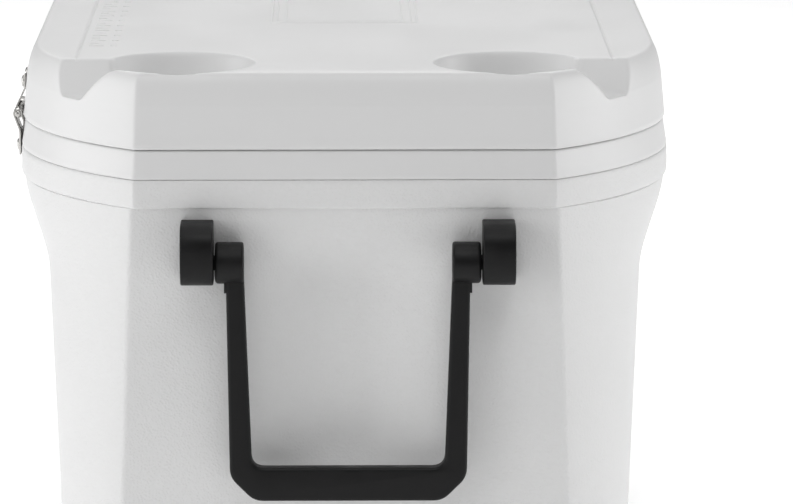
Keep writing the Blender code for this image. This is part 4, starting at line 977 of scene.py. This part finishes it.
def rounded_rectangle(x, y, radius, steps=8):
    corners = [((x[1], y[1]), 0), ((x[0], y[1]), 1), ((x[0], y[0]), 2), ((x[1], y[0]), 3)]
    points = []
    for (cx, cy), turn in corners:
        mx = cx - radius if cx == x[1] else cx + radius
        my = cy - radius if cy == y[1] else cy + radius
        for i in range(steps + 1):
            angle = math.pi / 2 * (turn + i / steps)
            points.append((mx + radius * math.cos(angle), my + radius * math.sin(angle)))
    return points


def deck_mark_meshes():
    """A plain nested frame in the middle of the deck, and ruler marks along the hinge side."""
    lid = bpy.context.scene.cooler_lid
    height = lid.mark_height
    frames = []
    for gap, width in ((0.0, 0.0016), (0.0042, 0.0010), (0.0105, 0.0010)):
        frames.append(rib(rounded_rectangle((-0.191 + gap, 0.191 - gap), (-0.0515 + gap, 0.0515 - gap),
                                            0.0060 - gap * 0.35), width, height))
    marks = []
    for i in range(49):
        x = -0.3048 + i * 0.0127
        reach = 0.010 if i % 2 == 0 else 0.006
        marks.append(rib([(x, 0.1745), (x, 0.1745 - reach)], 0.0011, height, closed=False))
        if i % 2 == 0:
            marks.append(rib([(x, 0.1600), (x, 0.1555)], 0.0022, height, closed=False))
    return joined(frames), joined(marks)


def lid_liner_mesh():
    """The underside of the lid: a flat edge that rests on the collar and a plug that drops into the mouth."""
    low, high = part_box("lid_liner")
    edge = HALF_LENGTH - high.x
    plug = 0.042 + 0.0025
    bottom = low.z
    top = high.z
    foot = LID_FOOT
    rings = [rim_ring(plug + WALL + 0.003, bottom + WALL), rim_ring(plug + WALL, foot + WALL),
             rim_ring(edge + 0.0003, top), rim_ring(edge, foot + 0.0004), rim_ring(edge + 0.0004, foot)]
    rings += [rim_ring(plug - 0.0024, foot), rim_ring(plug - 0.0007, foot - 0.0006), rim_ring(plug, foot - 0.0022)]
    for angle in (0, 30, 60, 90):
        turn = math.radians(angle)
        rings.append(rim_ring(plug + 0.003 * (1 - math.cos(turn)), bottom + 0.003 * (1 - math.sin(turn))))
    rings += [rim_ring(plug + 0.028, bottom), rim_ring(plug + 0.0295, bottom + 0.0006),
              rim_ring(plug + 0.031, bottom + 0.0012)]
    return outward(loft(rings), 40)


# ============================================================ hinges
LEAF_SHEET = 0.0012           # thickness of the hinge's sheet
LEAN_RISE = 0.0387            # the lid's side leans in by LEAN_RUN over this height
LEAN_RUN = 0.0035
LID_LEAN = Vector((0, LEAN_RISE, LEAN_RUN)).normalized()


def lid_wall(height):
    """Distance of the lid's leaning side from the middle, at a height above the seam."""
    return LID_HIGH.y - LEAN_RUN * height / LEAN_RISE


def pin_place(index):
    low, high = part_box(f"hinge_pin_{index}")
    return (low + high) / 2, (high.z - low.z) / 2


def leaf_mesh(part, index):
    """A butt hinge's leaf: a plate on the wall, bent out to the pin and rolled round it."""
    sheet = LEAF_SHEET
    low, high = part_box(f"hinge_leaf_{part}_{index}")
    pin, radius = pin_place(index)
    lean = LID_LEAN if part == "lid" else Vector((0, 1, 0))
    up = 1 if part == "lid" else -1
    if part == "lid":
        heights = (high.z - SEAM - REST_GAP, 0.0160)
        wall = [Vector((0, lid_wall(h), SEAM + h)) for h in heights]
    else:
        heights = (SEAM - low.z, 0.0115)
        wall = [Vector((0, HALF_WIDTH, SEAM - h)) for h in heights]
    path = [p + lean * (REST_GAP + sheet / 2) for p in wall]
    middle = radius + 0.00008 + sheet / 2
    away = path[-1] - pin
    tangent = math.atan2(abs(away.z), away.y) - math.acos(middle / math.hypot(away.y, away.z))
    wrap = math.radians(285)
    steps = 26
    points = [(p.y, p.z) for p in path]
    for i in range(steps + 1):
        angle = up * (tangent - wrap * i / steps)
        points.append((pin.y + middle * math.cos(angle), pin.z + middle * math.sin(angle)))
    bend = Vector(points[1])
    eased = [points[0]]
    for t in (0.0, 0.25, 0.5, 0.75, 1.0):
        before = bend + (Vector(points[0]) - bend).normalized() * 0.002
        after = bend + (Vector(points[2]) - bend).normalized() * 0.002
        eased.append(tuple(before * (1 - t) ** 2 + bend * 2 * t * (1 - t) + after * t * t))
    eased += points[2:]
    half = (high.x - low.x) / 2
    knuckle = 0.011
    edges = [-half, -knuckle - 0.0004, -knuckle, knuckle, knuckle + 0.0004, half]
    kept = {2} if part == "lid" else {0, 4}
    bm = bmesh.new()
    grid = [[bm.verts.new((pin.x + x, y, z)) for x in edges] for y, z in eased]
    for r, (upper, lower) in enumerate(zip(grid, grid[1:])):
        for c in range(len(edges) - 1):
            if r == 0 or c in kept:
                bm.faces.new((upper[c], upper[c + 1], lower[c + 1], lower[c]))
    bmesh.ops.delete(bm, geom=[v for v in bm.verts if not v.link_faces], context="VERTS")
    mesh = bpy.data.meshes.new("leaf")
    bm.to_mesh(mesh)
    bm.free()
    item = solid("leaf", mesh)
    sheet_made = item.modifiers.new("sheet", "SOLIDIFY")
    sheet_made.thickness = sheet
    sheet_made.offset = 0
    sheet_made.use_even_offset = True
    softened = item.modifiers.new("edges", "BEVEL")
    softened.width = 0.0003
    softened.segments = 2
    softened.limit_method = "ANGLE"
    softened.angle_limit = math.radians(50)
    settle(item)
    return outward(drop(item), 35)


def screw_mesh(node):
    """A domed screw with a cross recess, its shank ending in the leaf."""
    low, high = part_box(node)
    middle = (low + high) / 2
    lean = LID_LEAN if "lid" in node else Vector((0, 1, 0))
    head, rise = 0.0042, 0.0020
    dome = [(head * math.cos(a) ** 0.8, rise * (0.25 + 0.75 * math.sin(a)))
            for a in np.linspace(0, math.pi / 2, 8)[:-1]]
    profile = [(0, -0.0012), (0.0018, -0.0012), (0.0018, 0), (head, 0)] + dome + [(0, rise)]
    item = solid("screw", turned(profile, 32))
    for turn in (0, 90):
        slot = block((-0.0021, -0.00045, 0.0009), (0.0021, 0.00045, 0.01))
        turned_slot = placed(slot, Matrix.Rotation(math.radians(turn + 35), 4, "Z"))
        boolean(item, solid("slot", turned_slot), "DIFFERENCE")
    wall_y = lid_wall(middle.z - SEAM) if "lid" in node else HALF_WIDTH
    seat = Vector((middle.x, wall_y, middle.z)) + lean * (REST_GAP * 2 + LEAF_SHEET)
    mesh = drop(item)
    return outward(placed(mesh, pointing(seat, lean)), 32)


def pin_mesh(index):
    low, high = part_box(f"hinge_pin_{index}")
    pin, radius = pin_place(index)
    half = (high.x - low.x) / 2
    profile = [(0, -half), (radius * 0.7, -half), (radius, -half + 0.0005), (radius, half - 0.0005),
               (radius * 0.7, half), (0, half)]
    return outward(placed(turned(profile, 32), pointing(pin, (1, 0, 0))), 40)


# ============================================================ handles and brackets
def bail_place(end_name):
    """Pivot of a bail, and the measures of its arms from its box."""
    low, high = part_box(f"bail_{end_name}")
    pivot = Vector(JOINTS[f"bail_{end_name}_swing"]["pos_m"])
    return low, high, pivot, (low.y + high.y) / 2


def bail_mesh(end_name):
    """The hanging U: a grip with cut corners, two tapering arms, an eye and a stud on each."""
    low, high, pivot, middle = bail_place(end_name)
    eye = 0.0275 / 2
    reach = 0.0785                      # half width over the arms at the grip
    top_out, low_out = reach + 0.0021, reach
    top_in, low_in = top_out - 0.0117, low_out - 0.0147
    foot, grip = low.z, low.z + 0.0225
    right = [(low_out - 0.0160, foot), (low_out, foot + 0.0160), (top_out, pivot.z), (top_in, pivot.z),
             (low_in, grip)]
    radii = [0.0060, 0.0060, 0.0, 0.0, 0.0085]
    points = right + [(-y, z) for y, z in reversed(right)]
    outline = soften(points, radii + radii[::-1], 6)
    half = 0.0060
    body = rounded(prism([(y + middle, z) for y, z in outline], "X", pivot.x - half, pivot.x + half), 0.0024, 4)
    bail = solid("bail", body)
    for _, sign in SIDES:
        inside, outside = top_out - 0.0117 - REST_GAP, top_out + 0.0068
        profile = soften([(0, inside), (eye, inside), (eye, outside), (0, outside)], [0, 0.0020, 0.0024, 0], 4)
        ring_mesh = placed(turned(profile, 64), pointing((pivot.x, middle, pivot.z), (0, sign, 0)))
        boolean(bail, solid("eye", ring_mesh), "UNION")
        saddle = soften([(pivot.z - eye * 0.2, -half * 1.0), (pivot.z - eye - 0.0060, -half * 0.9),
                         (pivot.z - eye - 0.0060, half * 0.9), (pivot.z - eye * 0.2, half * 1.0)], 0.0010, 2)
        span = sorted((middle + sign * (top_out - 0.0030), middle + sign * (top_out + 0.0010)))
        neck = prism([(pivot.x + b, a) for a, b in saddle], "Y", *span)
        boolean(bail, solid("neck", neck), "UNION")
        stud = [(0, outside - 0.002), (0.005, outside - 0.002), (0.005, outside + 0.0108), (0, outside + 0.0108)]
        stud_mesh = placed(turned(soften(stud, [0, 0, 0.0008, 0], 2), 40),
                           pointing((pivot.x, middle, pivot.z), (0, sign, 0)))
        boolean(bail, solid("stud", stud_mesh), "UNION")
    return outward(drop(bail), 28)


def bracket_mesh(end_name, end, side_name, side):
    """Pivot bracket: flat back on the wall, softly bulging front and a bore for the stud."""
    low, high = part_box(f"bail_bracket_{end_name}_{side_name}")
    pivot = bail_place(end_name)[2]
    top, foot = high.z, low.z
    middle = (top + foot) / 2
    front = max(abs(low.x), abs(high.x))
    flat = HALF_LENGTH - tub_inset(middle) + 0.0105
    points = [(HALF_LENGTH - tub_inset(top) + REST_GAP, top)]
    for angle in np.linspace(90, -90, 25):
        turn = math.radians(angle)
        points.append((flat + (front - flat) * abs(math.cos(turn)) ** 0.62,
                       middle + (top - foot) / 2 * math.copysign(abs(math.sin(turn)) ** 0.80, math.sin(turn))))
    points.append((HALF_LENGTH - tub_inset(foot) + REST_GAP, foot))
    outline = soften([(end * x, z) for x, z in points], 0.0006, 1)
    body = rounded(prism(outline, "Y", low.y, high.y), 0.0026, 4, 50)
    item = solid("bracket", body)
    bore = sorted(((low.y if side > 0 else high.y) - side * 0.001, (low.y if side > 0 else high.y) + side * 0.0125))
    boolean(item, solid("bore", prism(circle(0.00508, 40, (pivot.x, pivot.z)), "Y", *bore)), "DIFFERENCE")
    return outward(drop(item), 35)


# ============================================================ wheels, axle and drain
def on_axle(name, sign):
    """Matrix that stands a piece turned about Z on the axle, its +Z side outwards."""
    low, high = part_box(name)
    return pointing((low + high) / 2, (0, sign, 0))


def wheel_mesh(name, sign):
    """Moulded wheel: rim, dished web with five windows between its spokes, and hub."""
    low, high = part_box(f"wheel_{name}")
    half = (high.y - low.y) / 2
    rim = (high.z - low.z) / 2
    hub, bore, inside = 0.015, 0.00512, rim - 0.0034
    web = half - 0.0100
    profile = [(bore, half), (hub, half), (hub + 0.0012, web + 0.0030), (inside - 0.0010, web + 0.0030),
               (inside, half), (rim, half), (rim, -half), (inside, -half), (inside - 0.0020, web - 0.0020),
               (hub + 0.0010, web - 0.0020), (hub, -half), (bore, -half)]
    radii = [0.0006, 0.0010, 0.0016, 0.0016, 0.0008, 0.0008, 0.0008, 0.0008, 0.0016, 0.0016, 0.0008, 0.0006]
    item = solid("wheel", turned(soften(profile, radii, 3), 96))
    for i in range(5):
        turn = 2 * math.pi * i / 5
        spread = math.radians(24)
        outer = [(inside - 0.0060) * np.array((math.cos(turn + a), math.sin(turn + a)))
                 for a in np.linspace(-spread, spread, 9)]
        inner = [(hub + 0.0075) * np.array((math.cos(turn + a), math.sin(turn + a)))
                 for a in np.linspace(spread * 0.55, -spread * 0.55, 5)]
        window = soften([tuple(p) for p in outer + inner], 0.0030, 3)
        boolean(item, solid("window", prism(window, "Z", web - 0.012, web + 0.014)), "DIFFERENCE")
    return outward(placed(drop(item), on_axle(f"wheel_{name}", sign)), 30)


def tyre_mesh(name, sign):
    """Tyre with three ribs and shallow cross cuts in its shoulders."""
    low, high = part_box(f"tyre_{name}")
    half = (high.y - low.y) / 2
    outer = (high.z - low.z) / 2
    inner = outer - 0.009 + 0.0001
    steps = 180
    edge = half - 0.0035
    profile = [(inner, half, 0), (outer - 0.0050, half, 0), (outer - 0.0022, half - 0.0008, 1),
               (outer - 0.0006, edge, 1), (outer - 0.0001, edge - 0.0030, 1), (outer, edge - 0.0080, 0)]
    for centre in (0.0085, -0.0085):
        profile += [(outer, centre + 0.0016, 0), (outer - 0.0022, centre + 0.0009, 0),
                    (outer - 0.0022, centre - 0.0009, 0), (outer, centre - 0.0016, 0)]
    mirrored = [(r, -z, cut) for r, z, cut in reversed(profile[:6])]
    profile += mirrored
    rows = []
    for radius, z, cut in profile:
        angles = 2 * np.pi * np.arange(steps) / steps
        depth = np.where((np.arange(steps) % 6) < 2, 0.0016, 0.0) * cut
        rows.append(np.column_stack(((radius - depth) * np.cos(angles), (radius - depth) * np.sin(angles),
                                     np.full(steps, z))))
    mesh = loft(rows + [rows[0]], close=False)
    bm = bmesh.new()
    bm.from_mesh(mesh)
    bmesh.ops.remove_doubles(bm, verts=bm.verts, dist=1e-6)
    bm.to_mesh(mesh)
    bm.free()
    return outward(placed(mesh, on_axle(f"tyre_{name}", sign)), 26)


def cap_mesh(name, sign):
    low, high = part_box(f"axle_cap_{name}")
    long = high.y - low.y
    profile = soften([(0.0053, 0), (0.010, 0), (0.010, long * 0.6), (0.0072, long), (0, long), (0, long - 0.0016),
                      (0.0053, long - 0.0016)], [0, 0.0006, 0.0014, 0.0012, 0, 0, 0], 4)
    base = Vector(((low.x + high.x) / 2, low.y if sign > 0 else high.y, (low.z + high.z) / 2))
    return outward(placed(turned(profile, 64), pointing(base, (0, sign, 0))), 35)


def ribbed(radius, depth, count):
    """Plan of a knurled cap."""
    points = []
    for i in range(count * 6):
        wave = 0.5 + 0.5 * math.cos(2 * math.pi * i / 6)
        reach = radius - depth * (1 - wave) ** 2
        angle = 2 * math.pi * i / (count * 6)
        points.append((reach * math.cos(angle), reach * math.sin(angle)))
    return points


def drain_meshes():
    """Spout with its flange, hexagonal nut, knurled cap; all stand in the towing end's wall."""
    spout_low, spout_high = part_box("drain_spout")
    cap_low, cap_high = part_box("drain_cap")
    nut_low, nut_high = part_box("drain_nut")
    middle = (spout_low.z + spout_high.z) / 2

    def stand(x):
        return pointing((x, 0, middle), (-1, 0, 0))

    seat = spout_high.x - 0.0025
    length = seat - spout_low.x
    spout = [(0.009, length), (0.012, length)]
    for i in range(7):
        z = length - 0.0015 - i * 0.0018
        spout += [(0.0120, z), (0.0114, z - 0.0009)]
    spout += [(0.012, length - 0.0150), (0.012, 0), (0.016, 0), (0.016, -0.0018), (0.0153, -0.0025),
              (0.0105, -0.0025), (0.009, -0.0008)]
    spout_mesh = outward(placed(turned(spout, 64), stand(seat)), 30)
    thick = nut_high.x - nut_low.x
    nut = solid("nut", rounded(prism(circle(0.017, 6), "Z", 0, thick), 0.0008, 3))
    boolean(nut, solid("hole", prism(circle(0.0123, 48), "Z", -0.01, 0.02)), "DIFFERENCE")
    nut_mesh = outward(placed(drop(nut), stand(nut_high.x)), 30)
    deep = cap_high.x - cap_low.x
    plan = ribbed(0.017, 0.0011, 20)
    levels = [(0.965, 0), (1.0, 0.0006), (1.0, deep - 0.0022), (0.965, deep - 0.0008), (0.90, deep)]
    rows = [np.array([(x * s, y * s, z) for x, y in plan]) for s, z in levels]
    cap = solid("cap", loft(rows))
    boolean(cap, solid("room", prism(circle(0.0123, 48), "Z", -0.01, deep - 0.0024)), "DIFFERENCE")
    boolean(cap, solid("dish", prism(circle(0.0128, 48), "Z", deep - 0.0012, deep + 0.01)), "DIFFERENCE")
    cap_mesh = outward(placed(drop(cap), stand(cap_high.x)), 30)
    return spout_mesh, nut_mesh, cap_mesh


# ============================================================ operators
class Build(bpy.types.Operator):
    """Shared part of the builders."""
    bl_options = {"REGISTER", "UNDO"}


class COOLER_OT_tub(Build):
    """Build the pebbled tub with its rim band, creases, hand recesses, wheel wells and skids"""
    bl_idname = "cooler.tub"
    bl_label = "Tub"

    def execute(self, context):
        new_piece("tub_body", tub_mesh(), "tub", finish("pebbled_white"), ["tub_shell"])
        refinish("tub_foam", "foam")
        return {"FINISHED"}


class COOLER_OT_liner(Build):
    """Build the smooth liner with its collar"""
    bl_idname = "cooler.liner"
    bl_label = "Liner and collar"

    def execute(self, context):
        new_piece("liner_body", liner_mesh(), "tub", finish("liner_white"), ["tub_liner"])
        return {"FINISHED"}


class COOLER_OT_lid(Build):
    """Build the lid with its cup holders, troughs, grooves and marks, and its underside"""
    bl_idname = "cooler.lid"
    bl_label = "Lid"

    def execute(self, context):
        white = finish("smooth_white")
        new_piece("lid_body", lid_mesh(), "lid", white, ["lid_shell"])
        frames, marks = deck_mark_meshes()
        new_piece("lid_frame", frames, "lid", white)
        new_piece("lid_ruler", marks, "lid", white)
        new_piece("lid_underside", lid_liner_mesh(), "lid", finish("liner_white"), ["lid_liner"])
        refinish("lid_foam", "foam")
        return {"FINISHED"}


class COOLER_OT_hinges(Build):
    """Build the two lid hinges with their leaves, pins and screws"""
    bl_idname = "cooler.hinges"
    bl_label = "Hinges"

    def execute(self, context):
        steel = finish("stainless")
        for index in "12":
            for part in ("lid", "tub"):
                new_piece(f"leaf_{part}_{index}", leaf_mesh(part, index), part, steel,
                          [f"hinge_leaf_{part}_{index}"])
                for letter in "ab":
                    node = f"hinge_screw_{part}_{index}{letter}"
                    new_piece(f"screw_{part}_{index}{letter}", screw_mesh(node), part, steel,
                              [node])
            new_piece(f"pin_{index}", pin_mesh(index), "tub", steel, [f"hinge_pin_{index}"])
        return {"FINISHED"}


class COOLER_OT_handles(Build):
    """Build both bail handles and their pivot brackets"""
    bl_idname = "cooler.handles"
    bl_label = "Handles"

    def execute(self, context):
        black = finish("black_plastic")
        for end_name, end in ENDS:
            new_piece(f"handle_{end_name}", bail_mesh(end_name), f"bail_{end_name}", black,
                      [f"bail_{end_name}"])
            for side_name, side in SIDES:
                new_piece(f"bracket_{end_name}_{side_name}", bracket_mesh(end_name, end, side_name, side), "tub",
                          black, [f"bail_bracket_{end_name}_{side_name}"])
        return {"FINISHED"}


class COOLER_OT_wheels(Build):
    """Build the wheels and tyres with their axle caps, and finish the axle and washers"""
    bl_idname = "cooler.wheels"
    bl_label = "Wheels"

    def execute(self, context):
        for name, sign in SIDES:
            new_piece(f"rim_{name}", wheel_mesh(name, sign), f"wheel_{name}",
                      finish("wheel_plastic"), [f"wheel_{name}"])
            new_piece(f"tread_{name}", tyre_mesh(name, sign), f"wheel_{name}", finish("rubber"),
                      [f"tyre_{name}"])
            new_piece(f"hubcap_{name}", cap_mesh(name, sign), "tub", finish("wheel_plastic"),
                      [f"axle_cap_{name}"])
            refinish(f"axle_washer_{name}", "stainless")
        refinish("axle", "stainless")
        return {"FINISHED"}


class COOLER_OT_drain(Build):
    """Build the drain's spout, nut and screw cap, and finish its seals"""
    bl_idname = "cooler.drain"
    bl_label = "Drain"

    def execute(self, context):
        black = finish("black_plastic")
        spout, nut, cap = drain_meshes()
        new_piece("spout", spout, "tub", black, ["drain_spout"])
        new_piece("spout_nut", nut, "tub", black, ["drain_nut"])
        new_piece("spout_cap", cap, "drain_cap", black, ["drain_cap"])
        refinish("drain_gasket", "rubber")
        refinish("drain_cap_seal", "rubber")
        return {"FINISHED"}


class COOLER_OT_stage(Build):
    """Set up the pale floor, soft light and camera"""
    bl_idname = "cooler.stage"
    bl_label = "Stage"

    def execute(self, context):
        make_floor()
        make_lights()
        make_camera()
        return {"FINISHED"}


# ============================================================ stage
def make_floor():
    """A wide pale floor in rings of faces that widen away from the cooler."""
    stage = bpy.context.scene.cooler_stage
    steps = 64
    vertices, faces = [(0.0, 0.0, 0.0)], [(0, 1 + i, 1 + (i + 1) % steps) for i in range(steps)]
    for i in range(stage.floor_rings):
        radius = 0.3 * (45 / 0.3) ** (i / (stage.floor_rings - 1))
        vertices += [(x, y, 0.0) for x, y in circle(radius, steps)]
        if i:
            first, second = 1 + (i - 1) * steps, 1 + i * steps
            faces += [(first + k, second + k, second + (k + 1) % steps, first + (k + 1) % steps)
                      for k in range(steps)]
    mesh = mesh_of(vertices, faces)
    mesh.shade_smooth()
    material = bpy.data.materials.new("studio_floor")
    material.use_nodes = True
    shader = material.node_tree.nodes["Principled BSDF"]
    nodes = Nodes(material.node_tree)
    place = nodes.add("ShaderNodeTexCoord").outputs["Object"]
    tone = nodes.ramp(nodes.noise(place, 3.0, 3.0), 0.3, 0.7, 0.90, 0.93)
    colour = nodes.add("ShaderNodeCombineColor", {"Red": tone, "Green": tone, "Blue": tone})
    nodes.feed(shader.inputs["Base Color"], colour.outputs[0])
    shader.inputs["Roughness"].default_value = 0.9
    shader.inputs["Specular IOR Level"].default_value = 0.1
    shader.inputs["Emission Color"].default_value = (1.0, 1.0, 1.0, 1.0)
    shader.inputs["Emission Strength"].default_value = FLOOR_GLOW
    new_piece("floor", mesh, None, material)


LIGHTS = (
    # name, place, aim, size, power
    ("left", (0.0, 3.4, 1.0), (0.0, 0.0, 0.3), (3.0, 1.8), 42.0),
    ("right", (0.0, -3.4, 1.0), (0.0, 0.0, 0.3), (3.0, 1.8), 46.5),
    ("front_left", (-2.4, 2.4, 1.2), (0.0, 0.0, 0.3), (1.8, 1.8), 17.0),
    ("top", (0.3, 0.0, 3.2), (0.0, 0.0, 0.4), (3.0, 2.4), 29.0),
    ("top_front", (-1.9, 0.0, 2.9), (0.0, 0.0, 0.4), (2.0, 1.6), 24.5),
    ("back", (2.8, 0.0, 2.2), (0.0, 0.0, 0.4), (3.0, 1.6), 22.0),
    ("floor_wash", (3.4, 0.0, 2.6), (3.4, 0.0, 0.0), (3.0, 4.0), 42.0),
)
WORLD_LIGHT = 0.06
FLOOR_GLOW = 0.36


def make_lights():
    world = bpy.data.worlds.new("studio")
    world.use_nodes = True
    background = world.node_tree.nodes["Background"]
    background.inputs["Color"].default_value = (1.0, 1.0, 1.0, 1.0)
    background.inputs["Strength"].default_value = WORLD_LIGHT
    bpy.context.scene.world = world
    for name, place, aim, size, power in LIGHTS:
        light = bpy.data.lights.new(name, "AREA")
        light.shape = "RECTANGLE"
        light.size, light.size_y = size
        light.energy = power
        item = bpy.data.objects.new(name, light)
        item.location = place
        item.rotation_euler = (Vector(aim) - Vector(place)).to_track_quat("-Z", "Y").to_euler()
        bpy.context.scene.collection.objects.link(item)
    bpy.context.scene.view_settings.view_transform = "Standard"


def make_camera():
    stage = bpy.context.scene.cooler_stage
    camera = bpy.data.cameras.new("camera")
    camera.sensor_width = 36.0
    camera.lens = stage.lens
    camera.clip_end = 200.0
    item = bpy.data.objects.new("camera", camera)
    item.location = (-HALF_LENGTH - stage.distance, 0.0013, LID_TOP + stage.height)
    direction = Vector((math.cos(stage.pitch) * math.cos(stage.yaw), -math.cos(stage.pitch) * math.sin(stage.yaw),
                        -math.sin(stage.pitch)))
    item.rotation_euler = direction.to_track_quat("-Z", "Y").to_euler()
    bpy.context.scene.collection.objects.link(item)
    bpy.context.scene.camera = item


# ============================================================ panel and registration
OPERATORS = (COOLER_OT_tub, COOLER_OT_liner, COOLER_OT_lid, COOLER_OT_hinges, COOLER_OT_handles, COOLER_OT_wheels,
             COOLER_OT_drain, COOLER_OT_stage)
GROUPS = (("cooler_tub", CoolerTub), ("cooler_lid", CoolerLid), ("cooler_finish", CoolerFinish),
          ("cooler_stage", CoolerStage))


class COOLER_PT_build(bpy.types.Panel):
    """Lists the cooler's builders and their sizes"""
    bl_label = "Wheeled cooler"
    bl_idname = "COOLER_PT_build"
    bl_space_type = "VIEW_3D"
    bl_region_type = "UI"
    bl_category = "Cooler"

    def draw(self, context):
        for operator in OPERATORS:
            self.layout.operator(operator.bl_idname)
        for name, group in GROUPS:
            box = self.layout.box()
            box.label(text=group.__doc__)
            for key in group.__annotations__:
                box.prop(getattr(context.scene, name), key)


def register():
    for name, group in GROUPS:
        bpy.utils.register_class(group)
        setattr(bpy.types.Scene, name, PointerProperty(type=group))
    for operator in OPERATORS:
        bpy.utils.register_class(operator)
    bpy.utils.register_class(COOLER_PT_build)


def unregister():
    bpy.utils.unregister_class(COOLER_PT_build)
    for operator in reversed(OPERATORS):
        bpy.utils.unregister_class(operator)
    for name, group in reversed(GROUPS):
        delattr(bpy.types.Scene, name)
        bpy.utils.unregister_class(group)


def main():
    register()
    bpy.ops.cooler.tub()
    bpy.ops.cooler.liner()
    bpy.ops.cooler.lid()
    bpy.ops.cooler.hinges()
    bpy.ops.cooler.handles()
    bpy.ops.cooler.wheels()
    bpy.ops.cooler.drain()
    bpy.ops.cooler.stage()


if __name__ == "__main__":
    main()
